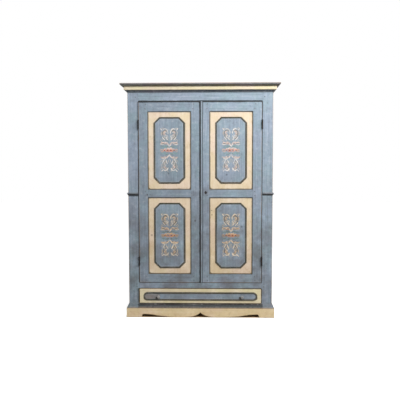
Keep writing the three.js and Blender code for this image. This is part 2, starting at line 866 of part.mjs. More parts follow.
for (const [word, side, door] of [["left", -1, leftDoor], ["right", 1, rightDoor]]) {
  const hingeEdge = halfOpening - doorSideGap;
  const lockEdge = meetingGap / 2;
  const hingeStile = cutBy(doorStileBoard(side, hingeEdge, hingeSight), doorLeafSeats(side));
  const lockCuts =
    side > 0
      ? [lockSpace(jointGap), keyhole(jointGap, frontY - cutOverrun, frameBackY)]
      : [boltSpace(-lockEdge - boltThrowLength, 0, slideGap)];
  addPiece(door, `${word}_door_hinge_stile`, hingeStile, paints.blue);
  const lockStile = cutBy(doorStileBoard(side, lockEdge, lockSight), lockCuts);
  addPiece(door, `${word}_door_lock_stile`, lockStile, paints.blue);
  for (const [name, levels] of Object.entries(doorRails)) {
    addPiece(door, `${word}_door_${name}`, doorRail(side, levels), paints.blue);
  }
  for (const [name, levels] of Object.entries(doorPanels)) {
    addPiece(door, `${word}_door_${name}_panel`, panelSpace(side, levels, 0), paints.cream);
    addPiece(door, `${word}_door_${name}_tablet`, tablet(side, levels), paints.blue);
  }
}

// Astragal: a half-round bead near the right door's meeting edge
function astragal() {
  const middleX = meetingGap / 2 + astragalInset + astragalWidth / 2;
  const outline = arc([middleX, frontY - jointGap], [astragalWidth / 2, astragalReach], 180, 360);
  return prism("z", outline, doorFoot, doorTop);
}

function lockCase() {
  const channel = boltSpace(0, boltEnd + slideGap, slideGap);
  return cutBy(lockSpace(0), [channel, keyhole(0, frontY, frameBackY + cutOverrun)]);
}

function lockBolt() {
  const notchX = (boltTip + boltEnd) / 2;
  const notchZ = boltLevel - boltHeight / 2;
  const [notchFrontY, notchBackY] = [boltMiddleY - boltThickness, boltMiddleY + boltThickness];
  const notch = rodAlongY(notchX, notchZ, boltNotchRadius, notchFrontY, notchBackY);
  return boltSpace(boltTip, boltEnd, 0).subtract(notch);
}

function escutcheon() {
  const middle = [meetingGap / 2 + lockBacksetWidth, keyholeLevel - keyRadius / 2];
  const outline = arc(middle, [escutcheonWidth / 2, escutcheonHeight / 2], 0, 360, roundSegments).slice(1);
  const plate = prism("y", outline, frontY - jointGap - escutcheonThickness, frontY - jointGap);
  return plate.subtract(keyhole(0, frontY - cutOverrun, frontY));
}

addPiece(rightDoor, "astragal", astragal(), paints.blue);
addPiece(rightDoor, "keyhole_escutcheon", escutcheon(), paints.iron);
addPiece(rightDoor, "lock_case", lockCase(), paints.iron);
addPiece(rightDoor, "lock_bolt", lockBolt(), paints.iron);

// Half of a lift-off hinge about its own pin line: the lower half holds the pin, the upper half drops on it
function hingeHalf(side, isUpper) {
  const up = isUpper ? 1 : -1;
  const partLevel = (up * jointGap) / 2;
  const knuckle = turned([
    [0, partLevel],
    [knuckleRadius, partLevel],
    [knuckleRadius, up * knuckleHeight],
    [finialNeckRadius, up * (knuckleHeight + finialHeight / 4)],
    [finialRadius, up * (knuckleHeight + finialHeight / 2)],
    [finialNeckRadius / 2, up * (knuckleHeight + finialHeight)],
    [0, up * (knuckleHeight + finialHeight)],
  ]);
  const leafInner = leafPartGap / 2;
  const outward = isUpper ? -side : side;
  const leaf = board(
    outward * leafInner,
    outward * (leafInner + leafThickness),
    knuckleRadius / 2,
    hingeProud + leafDepth,
    partLevel,
    up * knuckleHeight,
  );
  const pinGrow = isUpper ? jointGap : 0;
  const pinFoot = isUpper ? -cutOverrun : -knuckleHeight / 2;
  const pin = turned([
    [0, pinFoot],
    [hingePinRadius + pinGrow, pinFoot],
    [hingePinRadius + pinGrow, hingePinLength + pinGrow],
    [0, hingePinLength + pinGrow],
  ]);
  const half = joined([knuckle, leaf]);
  return isUpper ? half.subtract(pin) : half.add(pin);
}

for (const [word, side, door] of [["left", -1, leftDoor], ["right", 1, rightDoor]]) {
  for (const [place, level] of [["upper", upperHingeLevel], ["lower", lowerHingeLevel]]) {
    const seat = new THREE.Vector3(side * hingeX, hingeY, level);
    addPiece(carcass, `${place}_${word}_hinge_frame_leaf`, hingeHalf(side, false), paints.iron, seat);
    addPiece(door, `${place}_${word}_hinge_door_leaf`, hingeHalf(side, true), paints.iron, seat);
  }
}

// Dovetail tails as [y, z] outlines that widen from a shoulder to their end, grown by a clearance
function tailPrisms(side, shoulderY, endY, grow) {
  const forward = Math.sign(endY - shoulderY);
  const reach = Math.abs(endY - shoulderY);
  const pitch = (drawerSideTop - drawerSideFoot) / tailCount;
  return Array.from({ length: tailCount }, (_, i) => {
    const middle = drawerSideFoot + pitch * (i + 1 / 2);
    const neck = tailNeckWidth / 2 + grow;
    const wide = neck + reach * tailSlopeShare;
    const root = shoulderY - forward * cutOverrun;
    const tip = endY + forward * grow;
    const lowerEdge = [[root, middle - neck], [tip, middle - wide]];
    const upperEdge = [[tip, middle + wide], [root, middle + neck]];
    const outer = grow ? drawerHalf + cutOverrun : drawerHalf;
    const inner = drawerHalf - drawerSideThickness - grow;
    return prism("x", [...lowerEdge, ...upperEdge], side * inner, side * outer);
  });
}

const frontTails = { shoulder: drawerFrontBackY + jointGap, end: drawerFaceY + drawerLapDepth + jointGap };
const rearTails = { shoulder: drawerBackFaceY - jointGap, end: drawerRearY };

// Sockets for the tails of both sides
function tailSockets({ shoulder, end }) {
  return [-1, 1].flatMap((side) => tailPrisms(side, shoulder, end, jointGap));
}

// The bottom board's space, which runs in grooves in the sides and front and out under the back
function drawerBottomSpace(grow) {
  const half = drawerHalf - drawerSideThickness + drawerBottomGroove - jointGap + grow;
  return board(
    -half,
    half,
    drawerBottomFrontY + jointGap - grow,
    grow ? drawerRearY + cutOverrun : drawerRearY,
    drawerBottomFoot - grow,
    drawerBottomTop + grow,
  );
}

function drawerSide(side) {
  const inner = drawerHalf - drawerSideThickness;
  const plain = board(
    side * inner,
    side * drawerHalf,
    frontTails.shoulder,
    rearTails.shoulder,
    drawerSideFoot,
    drawerSideTop,
  );
  const tails = [
    ...tailPrisms(side, frontTails.shoulder, frontTails.end, 0),
    ...tailPrisms(side, rearTails.shoulder, rearTails.end, 0),
  ];
  return joined([plain, ...tails]).subtract(drawerBottomSpace(jointGap));
}

function knobBores(y0, y1) {
  const radius = knobSpigotRadius + jointGap;
  return [-1, 1].map((side) => rodAlongY(side * knobX, stripMiddle, radius, y0, y1));
}

function drawerFront() {
  const [foot, top] = [drawerFrontFoot, drawerFrontTop];
  const plain = board(-drawerHalf, drawerHalf, drawerFaceY, drawerFrontBackY, foot, top);
  const bores = knobBores(drawerFaceY - cutOverrun, drawerFrontBackY + cutOverrun);
  return cutBy(plain, [...tailSockets(frontTails), ...bores, drawerBottomSpace(jointGap)]);
}

function drawerBack() {
  const foot = drawerBottomTop + jointGap;
  const plain = board(-drawerHalf, drawerHalf, drawerBackFaceY, drawerRearY, foot, drawerSideTop);
  return cutBy(plain, tailSockets(rearTails));
}

// A strip with round ends, drawn in by an inset
function stripOutline(inset) {
  const radius = stripHeight / 2;
  const straight = stripHalf - radius;
  const radii = [radius - inset, radius - inset];
  const rightEnd = arc([straight, stripMiddle], radii, -90, 90, roundSegments / 2);
  const leftEnd = arc([-straight, stripMiddle], radii, 90, 270, roundSegments / 2);
  return [...rightEnd, ...leftEnd];
}

function drawerStrip() {
  const bores = knobBores(drawerFaceY - drawerFrontThickness, drawerFaceY);
  return cutBy(appliedBoard(stripOutline, drawerFaceY), bores);
}

// A turned knob about its own axis, its seat at zero and its spigot behind
function knob() {
  const spigot = drawerFrontBackY - stripFaceY;
  const points = [
    [0, -spigot],
    [knobSpigotRadius, -spigot],
    [knobSpigotRadius, 0],
    ...knobProfileShares.map(([out, along]) => [knobNeckRadius * out, knobLength * along]),
    ...knobHeadShares.map(([out, along]) => [knobRadius * out, knobLength * along]),
    [0, knobLength],
  ];
  return turned(points);
}

addPiece(drawer, "drawer_front", drawerFront(), paints.cream);
addPiece(drawer, "drawer_back", drawerBack(), paints.wood);
addPiece(drawer, "drawer_bottom", drawerBottomSpace(0), paints.wood);
addPiece(drawer, "drawer_strip", drawerStrip(), paints.blue);
for (const [word, side] of [["left", -1], ["right", 1]]) {
  addPiece(drawer, `drawer_side_${word}`, drawerSide(side), paints.wood);
  const seat = new THREE.Vector3(side * knobX, stripFaceY - jointGap, stripMiddle);
  addPiece(drawer, `drawer_knob_${word}`, knob(), paints.blue, seat).rotation.x = Math.PI / 2;
}

export default armoire;
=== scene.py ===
import json
import math
import bpy
import numpy as np
from mathutils import Matrix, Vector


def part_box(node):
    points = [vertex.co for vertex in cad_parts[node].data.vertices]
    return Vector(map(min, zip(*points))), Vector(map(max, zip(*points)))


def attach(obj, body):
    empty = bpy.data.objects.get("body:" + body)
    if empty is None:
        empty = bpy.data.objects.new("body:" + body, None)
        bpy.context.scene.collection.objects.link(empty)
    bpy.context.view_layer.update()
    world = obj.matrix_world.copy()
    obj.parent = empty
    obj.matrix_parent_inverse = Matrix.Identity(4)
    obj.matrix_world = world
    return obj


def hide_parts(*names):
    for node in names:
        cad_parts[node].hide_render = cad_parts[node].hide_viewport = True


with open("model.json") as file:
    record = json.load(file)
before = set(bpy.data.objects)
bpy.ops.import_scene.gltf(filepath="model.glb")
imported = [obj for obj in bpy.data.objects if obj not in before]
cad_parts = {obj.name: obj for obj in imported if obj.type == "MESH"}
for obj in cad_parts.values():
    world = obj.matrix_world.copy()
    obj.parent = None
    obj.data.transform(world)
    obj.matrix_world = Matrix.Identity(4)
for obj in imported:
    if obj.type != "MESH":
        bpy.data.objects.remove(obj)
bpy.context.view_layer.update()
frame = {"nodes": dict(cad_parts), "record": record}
nodes = frame["nodes"]
bodyNodes = frame["record"]["behaviour"]["bodies"]
bodyOfNode = {node: body for body, held in bodyNodes.items() for node in held}
mm = 0.001
print("frame loaded:", len(nodes), "nodes")


def boxOf(node):
    lowest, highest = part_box(node)
    return np.array(lowest), np.array(highest)


def blockAround(*boards):
    boxes = [boxOf(board) for board in boards]
    return np.min([low for low, _ in boxes], 0), np.max([high for _, high in boxes], 0)


# A node's middle and half size across and up, seen from the front.
def frontOblong(node):
    low, high = boxOf(node)
    return (low + high)[[0, 2]] / 2, (high - low)[[0, 2]] / 2


# Levels and lines that several pieces share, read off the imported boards
frontY = boxOf("left_stile")[0][1]
halfBody = boxOf("right_side")[1][0]
halfOpening = boxOf("right_stile")[0][0]
doorLow, doorHigh = boxOf("right_door_hinge_stile")
backY = boxOf("back_panel")[1][1]
seatGap = 0.3 * mm
mitreGap = 0.2 * mm
doorPanels = [(side, level) for side in ("left", "right") for level in ("upper", "lower")]

# Camera, floor and light
cameraSettings = {
    "place": (0.1095, -4.8365, 1.3153),
    "tiltDown": 3.723,
    "turnLeft": 1.387,
    "roll": -0.073,
    "lens": 48.52,
    "sensor": 36.0,
}


def placed(name, data):
    made = bpy.data.objects.new(name, data)
    bpy.context.scene.collection.objects.link(made)
    return made


def makeCamera(settings):
    data = bpy.data.cameras.new("studioCamera")
    data.lens = settings["lens"]
    data.sensor_width = settings["sensor"]
    data.clip_end = 100
    camera = placed("studioCamera", data)
    turn = Matrix.Rotation(math.radians(settings["turnLeft"]), 4, "Z")
    tilt = Matrix.Rotation(math.radians(90 - settings["tiltDown"]), 4, "X")
    roll = Matrix.Rotation(math.radians(settings["roll"]), 4, "Z")
    camera.matrix_world = Matrix.Translation(settings["place"]) @ turn @ tilt @ roll
    bpy.context.scene.camera = camera


makeCamera(cameraSettings)

lightSettings = {
    "skyToCamera": 1.0,
    "skyToObject": 0.30,
    "softboxes": [  # place, aim, size and power
        ("topSoftbox", (0.7, -2.6, 3.6), (0.0, -0.2, 1.5), (2.6, 1.8), 73),
        ("rightSoftbox", (2.6, -2.2, 3.1), (0.4, 0.0, 1.7), (1.6, 1.6), 90),
    ],
}


def makeLights(settings):
    for name, place, aim, size, power in settings["softboxes"]:
        data = bpy.data.lights.new(name, "AREA")
        data.shape = "RECTANGLE"
        data.size, data.size_y = size
        data.energy = power
        lamp = placed(name, data)
        x, y, z = np.array(place) - np.array(aim)
        lamp.rotation_euler = (math.atan2(math.hypot(x, y), z), 0.0, math.atan2(x, -y))
        lamp.location = place
    world = bpy.data.worlds.new("studioSky")
    bpy.context.scene.world = world
    world.use_nodes = True
    tree = world.node_tree
    sky = tree.nodes["Background"]
    sky.inputs["Color"].default_value = (1.0, 1.0, 1.0, 1.0)
    path = tree.nodes.new("ShaderNodeLightPath")
    spread = tree.nodes.new("ShaderNodeMapRange")
    spread.inputs["To Min"].default_value = settings["skyToObject"]
    spread.inputs["To Max"].default_value = settings["skyToCamera"]
    tree.links.new(path.outputs["Is Camera Ray"], spread.inputs["Value"])
    tree.links.new(spread.outputs["Result"], sky.inputs["Strength"])
    bpy.context.scene.view_settings.view_transform = "Standard"


makeLights(lightSettings)
print("camera and lights set")

# Mesh tools
markNames = ("secondCoat", "paleLine", "arris", "thirdCoat")  # what a profile's further columns say


# Quads between neighbours of a grid stored row by row, joined round where asked.
def gridFaces(rows, columns, wrapColumns=False):
    row = np.arange(rows - 1)[:, None]
    column = np.arange(columns if wrapColumns else columns - 1)[None, :]
    after = (column + 1) % columns
    corners = [row * columns + column, row * columns + after, (row + 1) * columns + after, (row + 1) * columns + column]
    return np.stack([np.broadcast_to(c, (rows - 1, column.shape[1])) for c in corners], -1).reshape(-1, 4)


# Rings of points as one closed surface: quads between the rings and a face over each end.
def closedRings(rings):
    rows, count = rings.shape[:2]
    ring = np.arange(count)[None]
    return rings.reshape(-1, 3), [gridFaces(rows, count, wrapColumns=True), ring[:, ::-1], (rows - 1) * count + ring]


# point(u, v) = (first(u, v), second(u, v), level(u, v)) for a grid of flat points.
def raised(flat, level):
    return np.concatenate([flat, np.broadcast_to(level, flat.shape[:2])[..., None]], -1)


# point(u, v) = (first(u, v), depth(u, v), second(u, v)) for a grid of flat points seen from the front.
def standing(flat, depth):
    return np.stack([flat[..., 0], np.broadcast_to(depth, flat.shape[:2]), flat[..., 1]], -1)


# A profile's further columns as marks, one value for each point of its surface.
def profileMarks(columns, spread, count):
    return {mark: spread(column, count) for mark, column in zip(markNames, columns.T)}


def signedVolume(points, faces):
    # a sixth of the triple products over each face's fan of triangles
    total = 0.0
    for block in faces:
        for k in range(1, block.shape[1] - 1):
            a, b, c = points[block[:, 0]], points[block[:, k]], points[block[:, k + 1]]
            total += float(np.einsum("ij,ij->", a, np.cross(b, c)))
    return total / 6


def makePiece(name, surface, finish, node, smoothBelow=40, marks=None, standsFor=True):
    points, faces = surface
    body, stands = bodyOfNode[node], [node] if standsFor else []
    if signedVolume(points, faces) < 0:
        faces = [block[:, ::-1] for block in faces]
    mesh = bpy.data.meshes.new(name)
    mesh.from_pydata(points.tolist(), [], [face for block in faces for face in block.tolist()])
    mesh.validate()
    for mark, values in (marks or {}).items():
        layer = mesh.attributes.new(mark, "FLOAT_COLOR" if np.ndim(values) == 2 else "FLOAT", "POINT")
        layer.data.foreach_set("color" if np.ndim(values) == 2 else "value", np.asarray(values, np.float32).ravel())
    mesh.polygons.foreach_set("use_smooth", np.ones(len(mesh.polygons), bool))
    mesh.set_sharp_from_angle(angle=math.radians(smoothBelow))
    mesh.materials.append(finish)
    piece = placed(name, mesh)
    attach(piece, body)
    if stands:
        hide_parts(*stands)


def arcPoints(middle, radii, fromDegrees, toDegrees, count):
    # middle + (first radius cos t, second radius sin t)
    t = np.radians(np.linspace(fromDegrees, toDegrees, count))
    return np.stack([middle[0] + radii[0] * np.cos(t), middle[1] + radii[1] * np.sin(t)], -1)


def cubicPoints(corners, count):
    # the cubic curve (1-t)^3 a + 3 (1-t)^2 t b + 3 (1-t) t^2 c + t^3 d
    a, b, c, d = np.asarray(corners, float)
    t = np.linspace(0, 1, count)[:, None]
    return (1 - t) ** 3 * a + 3 * (1 - t) ** 2 * t * b + 3 * (1 - t) * t**2 * c + t**3 * d


# point(u, v) = (u, v, 0) over a square about the origin.
def floorSurface(span, count):
    along = np.linspace(-span, span, count)
    x, y = np.meshgrid(along, along, indexing="ij")
    return np.stack([x, y, np.zeros_like(x)], -1).reshape(-1, 3)


# Shader tools


# A web colour as linear red, green, blue and one.
def linear(colour):
    shares = np.array([int(colour[i:i + 2], 16) for i in (1, 3, 5)]) / 255
    return tuple(np.where(shares <= 0.04045, shares / 12.92, ((shares + 0.055) / 1.055) ** 2.4)) + (1.0,)


# Links sockets to a node's inputs, and sets plain values and web colours there.
def feed(made, inputs):
    for name, value in inputs.items():
        if isinstance(value, bpy.types.NodeSocket):
            made.id_data.links.new(value, made.inputs[name])
        else:
            made.inputs[name].default_value = linear(value) if isinstance(value, str) else value
    return made


# A new node in the tree of the sockets that feed it.
def put(kind, inputs, **settings):
    tree = next(value.id_data for value in inputs.values() if isinstance(value, bpy.types.NodeSocket))
    made = tree.nodes.new(kind)
    for name, value in settings.items():
        setattr(made, name, value)
    return feed(made, inputs)


def calc(operation, *values, clamp=False):
    return put("ShaderNodeMath", dict(enumerate(values)), operation=operation, use_clamp=clamp).outputs[0]


def times(value, share):
    return calc("MULTIPLY", value, share)


def stretched(value, share, start):
    return calc("MULTIPLY_ADD", value, share, start)


def opposite(value):
    return calc("SUBTRACT", 1.0, value)


def vectorCalc(operation, *values, **named):
    made = put("ShaderNodeVectorMath", {**dict(enumerate(values)), **named}, operation=operation)
    return made.outputs["Value" if operation in ("LENGTH", "DISTANCE") else "Vector"]


def mixed(share, first, second):
    return put("ShaderNodeMix", {0: share, 6: first, 7: second}, data_type="RGBA").outputs[2]


# The tone over the colour where the mask says, at the given strength.
def laidOver(colour, tone, mask, strength=1.0):
    return mixed(times(mask, strength), colour, tone)


# 0 before start and 1 after end, smooth between.
def eased(value, start, end):
    inputs = {"Value": value, "From Min": start, "From Max": end}
    return put("ShaderNodeMapRange", inputs, interpolation_type="SMOOTHSTEP").outputs["Result"]


def noise(place, scale, detail, rough):
    return put("ShaderNodeTexNoise", {"Vector": place, "Scale": scale, "Detail": detail, "Roughness": rough}).outputs[0]


def parts(vector):
    return put("ShaderNodeSeparateXYZ", {0: vector}).outputs


# The surface's own mark, read in the tree of the place.
def markOf(place, name, output="Fac"):
    made = place.id_data.nodes.new("ShaderNodeAttribute")
    made.attribute_name = name
    return made.outputs[output]


# A new node group of vectors and values: its input sockets and its output node.
def shaderGroup(name, vectors, values, results):
    tree = bpy.data.node_groups.new(name, "ShaderNodeTree")
    sockets = [(word, "INPUT", "NodeSocketVector") for word in vectors]
    sockets += [(word, "INPUT", "NodeSocketFloat") for word in values]
    sockets += [(word, "OUTPUT", "NodeSocketFloat") for word in results]
    for word, way, kind in sockets:
        tree.interface.new_socket(name=word, in_out=way, socket_type=kind)
    return tree.nodes.new("NodeGroupInput").outputs, tree.nodes.new("NodeGroupOutput")


def use(group, **inputs):
    return put("ShaderNodeGroup", inputs, node_tree=group).outputs


# Brushed, aged paint: broad patches, mottling, streaks along the board and small specks
def makeBrushwork():
    results = ("Patch", "Drift", "Mottle", "Streak", "Speck", "Height")
    given, out = shaderGroup("brushwork", ("Place", "Along"), ("Seed",), results)
    place = vectorCalc("ADD", given["Place"], vectorCalc("SCALE", (1.7, -2.3, 0.9), Scale=given["Seed"]))
    turned = vectorCalc("ADD", place, (7.1, 3.3, 5.9))
    drawn = vectorCalc("MULTIPLY", place, given["Along"])
    streak, fine = noise(drawn, 1.0, 5.0, 0.65), noise(drawn, 4.0, 3.0, 0.6)
    return feed(out, {
        "Patch": noise(place, 8.0, 4.0, 0.62),
        "Drift": noise(turned, 3.6, 3.0, 0.55),
        "Mottle": noise(turned, 36.0, 5.0, 0.68),
        "Streak": streak,
        "Speck": eased(noise(place, 170.0, 3.0, 0.6), 0.61, 0.72),
        "Height": calc("ADD", times(streak, 0.7), times(fine, 0.3)),
    }).id_data


# Bare board: rings drawn out along the grain, fine fibre and broad stains
def makePlankFigure():
    given, out = shaderGroup("plankFigure", ("Place", "Along"), ("Seed",), ("Figure", "Fibre", "Stain"))
    place = vectorCalc("ADD", given["Place"], vectorCalc("SCALE", (-1.3, 2.9, 1.1), Scale=given["Seed"]))
    drawn = vectorCalc("MULTIPLY", place, given["Along"])
    slow = vectorCalc("SCALE", drawn, Scale=0.11)
    bend, across = noise(slow, 1.0, 2.0, 0.5), noise(slow, 2.7, 1.0, 0.4)
    rings = calc("SINE", calc("ADD", times(bend, 62.0), times(across, 9.0)))
    return feed(out, {
        "Figure": stretched(rings, 0.5, 0.5),
        "Fibre": noise(drawn, 2.2, 4.0, 0.7),
        "Stain": noise(place, 2.4, 4.0, 0.6),
    }).id_data


# How far a point is from the nearest arris of a block: the middle one of its three distances to the faces
def makeArrisDistance():
    given, out = shaderGroup("arrisDistance", ("Place", "Low", "High"), (), ("Distance",))
    fromLow = vectorCalc("SUBTRACT", given["Place"], given["Low"])
    fromHigh = vectorCalc("SUBTRACT", given["High"], given["Place"])
    x, y, z = parts(vectorCalc("ABSOLUTE", vectorCalc("MINIMUM", fromLow, fromHigh)))
    nearer = calc("MINIMUM", calc("MAXIMUM", x, y), z)
    return feed(out, {"Distance": calc("MAXIMUM", calc("MINIMUM", x, y), nearer)}).id_data


# How deep a point lies in an oblong with rounded corners seen from the front, counted in widths of its edge lines
def makeRimDepth():
    vectors = ("Place", "Low", "High", "LowWidth", "HighWidth")
    given, out = shaderGroup("rimDepth", vectors, ("Round",), ("Depth",))
    fromLow = vectorCalc("DIVIDE", vectorCalc("SUBTRACT", given["Place"], given["Low"]), given["LowWidth"])
    toHigh = vectorCalc("DIVIDE", vectorCalc("SUBTRACT", given["High"], given["Place"]), given["HighWidth"])
    least = vectorCalc("MINIMUM", fromLow, toHigh)
    corner = vectorCalc("MAXIMUM", vectorCalc("SUBTRACT", given["Round"], least), (0.0, 0.0, 0.0))
    reach = vectorCalc("LENGTH", vectorCalc("MULTIPLY", corner, (1.0, 0.0, 1.0)))
    return feed(out, {"Depth": calc("SUBTRACT", given["Round"], reach)}).id_data


# How far outside a canted oblong a point lies, seen from the front
def makeCantedGap():
    given, out = shaderGroup("cantedGap", ("Place", "Centre", "Half"), ("Cant",), ("Gap",))
    folded = vectorCalc("ABSOLUTE", vectorCalc("SUBTRACT", given["Place"], given["Centre"]))
    x, _, z = parts(vectorCalc("SUBTRACT", folded, given["Half"]))
    slant = calc("DIVIDE", calc("ADD", calc("ADD", x, z), given["Cant"]), math.sqrt(2))
    return feed(out, {"Gap": calc("MAXIMUM", calc("MAXIMUM", x, z), slant)}).id_data


# Paint rubbed thin and through along arrises, and chips away from them
def makeWear():
    given, out = shaderGroup("arrisWear", ("Place",), ("Distance", "Reach", "Amount"), ("Bare", "Thin"))
    broad, fine = noise(given["Place"], 9.0, 3.0, 0.6), noise(given["Place"], 75.0, 4.0, 0.65)
    reach = times(given["Reach"], times(broad, 1.9))
    closeness = calc("SUBTRACT", 1.0, calc("DIVIDE", given["Distance"], reach), clamp=True)
    worn = calc("ADD", times(closeness, given["Amount"]), times(fine, 0.62))
    return feed(out, {"Bare": eased(worn, 0.76, 0.84), "Thin": eased(worn, 0.44, 0.84)}).id_data


# Painted shade: a dark line along an edge, in gaps, recesses and under proud parts, for a depth counted in its widths
# and uneven along its run
def makeShadeLine():
    given, out = shaderGroup("shadeLine", ("Place",), ("Depth",), ("Mask",))
    uneven = stretched(noise(given["Place"], 24.0, 3.0, 0.6), 1.0, 0.5)
    share = calc("DIVIDE", given["Depth"], uneven)
    return feed(out, {"Mask": opposite(eased(share, 0.55, 1.25))}).id_data


# Old dirt in broad patches, darker toward the floor: the darkening low down is partly dirt and partly painted shade of
# the light falling off toward the bottom
def makeDirtAndLowShade():
    given, out = shaderGroup("dirtAndLowShade", ("Place",), ("Amount",), ("Mask",))
    # painted shade with dirt: darker below 1.45 m, most of all below 0.5 m
    low = opposite(eased(parts(given["Place"])[2], 0.5, 1.45))
    cloud = noise(given["Place"], 7.0, 5.0, 0.65)
    strength = times(stretched(low, 0.71, 0.22), eased(cloud, 0.22, 0.72))
    return feed(out, {"Mask": calc("MULTIPLY", strength, given["Amount"], clamp=True)}).id_data


brushwork = makeBrushwork()
plankFigure = makePlankFigure()
arrisDistance = makeArrisDistance()
rimDepth = makeRimDepth()
cantedGap = makeCantedGap()
arrisWear = makeWear()
shadeLine = makeShadeLine()
dirtAndLowShade = makeDirtAndLowShade()
print("shader groups made")

# Finishes

# Noise stretch for boards whose grain runs along X, Y or Z
alongGrain = {"x": (4.0, 95.0, 95.0), "y": (95.0, 4.0, 95.0), "z": (95.0, 95.0, 4.0)}

# Each coat: its three tones, what shows where it is rubbed thin, its dirt and how much of it (laid as dirt and as
# painted shade low down), its streaks, how much wood its chips bare, its roughness, and its haze where that isn't the
# usual one
coatKeys = ("tones", "thin", "dirt", "dirtShare", "streak", "bareShare", "roughness", "haze")
coatRows = {
    "blue": (("#95a7b8", "#92a8b5", "#98a7ba"), "#a5a5a3", "#5a514d", 0.70, 0.26, 0.55, 0.56),
    # shadedBlue: the blue a little darker, a painted shade on the left door, its upper tablet and the meeting bead
    "shadedBlue": (("#8d9eae", "#8a9fac", "#909fb0"), "#a09f9c", "#5a514d", 0.70, 0.26, 0.55, 0.56),
    "slate": (("#3f464b", "#394247", "#48484d"), "#74777a", "#35342f", 0.45, 0.15, 0.4, 0.56, "#b0b0ac"),
    "bed": (("#58626d", "#535d66", "#656671"), "#74777a", "#3a3b40", 0.45, 0.15, 0.4, 0.56),
    "umber": (("#2e2622", "#29231f", "#332b27"), "#4d443d", "#231d19", 0.4, 0.1, 0.2, 0.6),
    "olive": (("#535349", "#494e4d", "#5a554a"), "#6b6656", "#2c2b27", 0.4, 0.1, 0.3, 0.58),
    "crown": (("#727466", "#766b6f", "#776f5a"), "#7f7768", "#3a3833", 0.4, 0.1, 0.4, 0.58),
    "cap": (("#7a7b81", "#747b7d", "#7e797f"), "#9a958c", "#5b5852", 0.5, 0.15, 0.6, 0.58),
    "cream": (("#ebd9bf", "#e8d6b5", "#ecd7c3"), "#d0b48a", "#b08f5c", 0.5, 0.12, 0.5, 0.58),
    "band": (("#f1e4c6", "#ede3bb", "#f1e1ca"), "#d8c69c", "#b5a170", 0.4, 0.14, 0.5, 0.58),
    "tan": (("#f0dab0", "#ecd8ab", "#f0d6b8"), "#d9bc8c", "#a5834f", 0.26, 0.16, 0.6, 0.6),
    "dull": (("#7f8894", "#788892", "#868894"), "#8b8c8c", "#4c4b48", 0.5, 0.2, 0.5, 0.56),
    "rubbed": (("#8b8886", "#87898d", "#958b88"), "#a1958a", "#5d5a55", 0.4, 0.2, 0.5, 0.58),
}
coats = {word: dict(zip(coatKeys, row)) for word, row in coatRows.items()}
woodTones = {"light": "#b8946a", "dark": "#7f5c3a", "stain": "#5f452e", "rubbed": "#c9ab80", "roughness": 0.72}
# tones of the painted shade lines, and of the stains
lineTones = {"black": "#12161a", "brown": "#70634c", "olive": "#3d3d30", "grey": "#4a5258", "umber": "#3a2c26"}
paintShape = {
    "gloss": 0.35, "usualHaze": "#f3f3f1", "thinShare": 0.45,
    "wearReach": 6 * mm,  # how far from an arris paint is rubbed
    "coatEdge": (0.42, 0.58), "wander": 0.5,  # the fade between two coats, and how far their edge strays
    "paleShare": 0.75, "paleBreaks": (0.30, 0.52),
    "frontFade": (7 * mm, 14 * mm),  # how far behind the front the dark lines end
    # width and strength of the painted shade round a tablet
    "tabletShadeWidth": 3.2 * mm, "tabletShare": 0.85, "maskFade": 0.6 * mm,
    "brushRough": 0.16, "roughShift": 0.06, "bareRougher": 0.14,  # added to a coat's roughness
    "thickness": 0.8, "paintRelief": 0.35 * mm, "woodRelief": 0.45 * mm, "strokeRelief": 0.15 * mm,
    "otherSeed": 1.9, "woodSeed": 0.31,
}


def startFinish(name):
    finish = bpy.data.materials.new(name)
    finish.use_nodes = True
    tree = finish.node_tree
    shader = tree.nodes["Principled BSDF"]
    shader.inputs["Specular IOR Level"].default_value = paintShape["gloss"]
    return finish, shader, tree.nodes.new("ShaderNodeTexCoord").outputs["Object"]


def relief(height, depth):
    return put("ShaderNodeBump", {"Height": height, "Distance": depth, "Strength": 1.0}).outputs["Normal"]


# Three close tones laid over each other in patches, mottled and streaked, then dirtied and darkened low down as painted
# shade, and rubbed thin.
def coatColour(place, coat, along, seed, dirtAndShade, thin=None):
    work = use(brushwork, Place=place, Along=along, Seed=seed)
    colour, second, third = coat["tones"]
    dirt, haze = coat["dirt"], coat.get("haze", paintShape["usualHaze"])
    layers = [
        (second, eased(work["Patch"], 0.42, 0.60), 1.0),
        (third, eased(work["Drift"], 0.46, 0.62), 1.0),
        (dirt, eased(work["Streak"], 0.42, 0.74), coat["streak"]),
        (haze, eased(work["Streak"], 0.50, 0.30), 0.12),
        (dirt, eased(work["Mottle"], 0.50, 0.74), 0.30),
        (haze, eased(work["Mottle"], 0.48, 0.28), 0.16),
        (dirt, work["Speck"], 0.30),
        (dirt, dirtAndShade, coat["dirtShare"]),
    ]
    if thin is not None:
        layers.append((coat["thin"], thin, paintShape["thinShare"]))
    for tone, mask, strength in layers:
        colour = laidOver(colour, tone, mask, strength)
    return colour, work["Height"]


def woodColour(place, along, seed):
    board = use(plankFigure, Place=place, Along=along, Seed=seed)
    colour = laidOver(woodTones["light"], woodTones["dark"], board["Figure"], 0.55)
    colour = laidOver(colour, woodTones["dark"], eased(board["Fibre"], 0.45, 0.75), 0.35)
    colour = laidOver(colour, woodTones["stain"], eased(board["Stain"], 0.5, 0.8), 0.4)
    return colour, calc("ADD", times(board["Figure"], 0.25), times(board["Fibre"], 0.75))


def arrisGap(place, block):
    return use(arrisDistance, Place=place, Low=tuple(block[0]), High=tuple(block[1]))["Distance"]


# The dark lines of painted shade along an oblong's rim, on its inner or outer side: widths in mm at the left, right,
# top and bottom.
def rimLine(box, widths, inside, tone="black", strength=0.92, rounding=2.0):
    left, right, top, bottom = (width * mm for width in widths)
    sizes = {"Low": tuple(box[0]), "High": tuple(box[1]), "Round": rounding}
    return {**sizes, "LowWidth": (left, 1.0, bottom), "HighWidth": (right, 1.0, top)}, inside, tone, strength
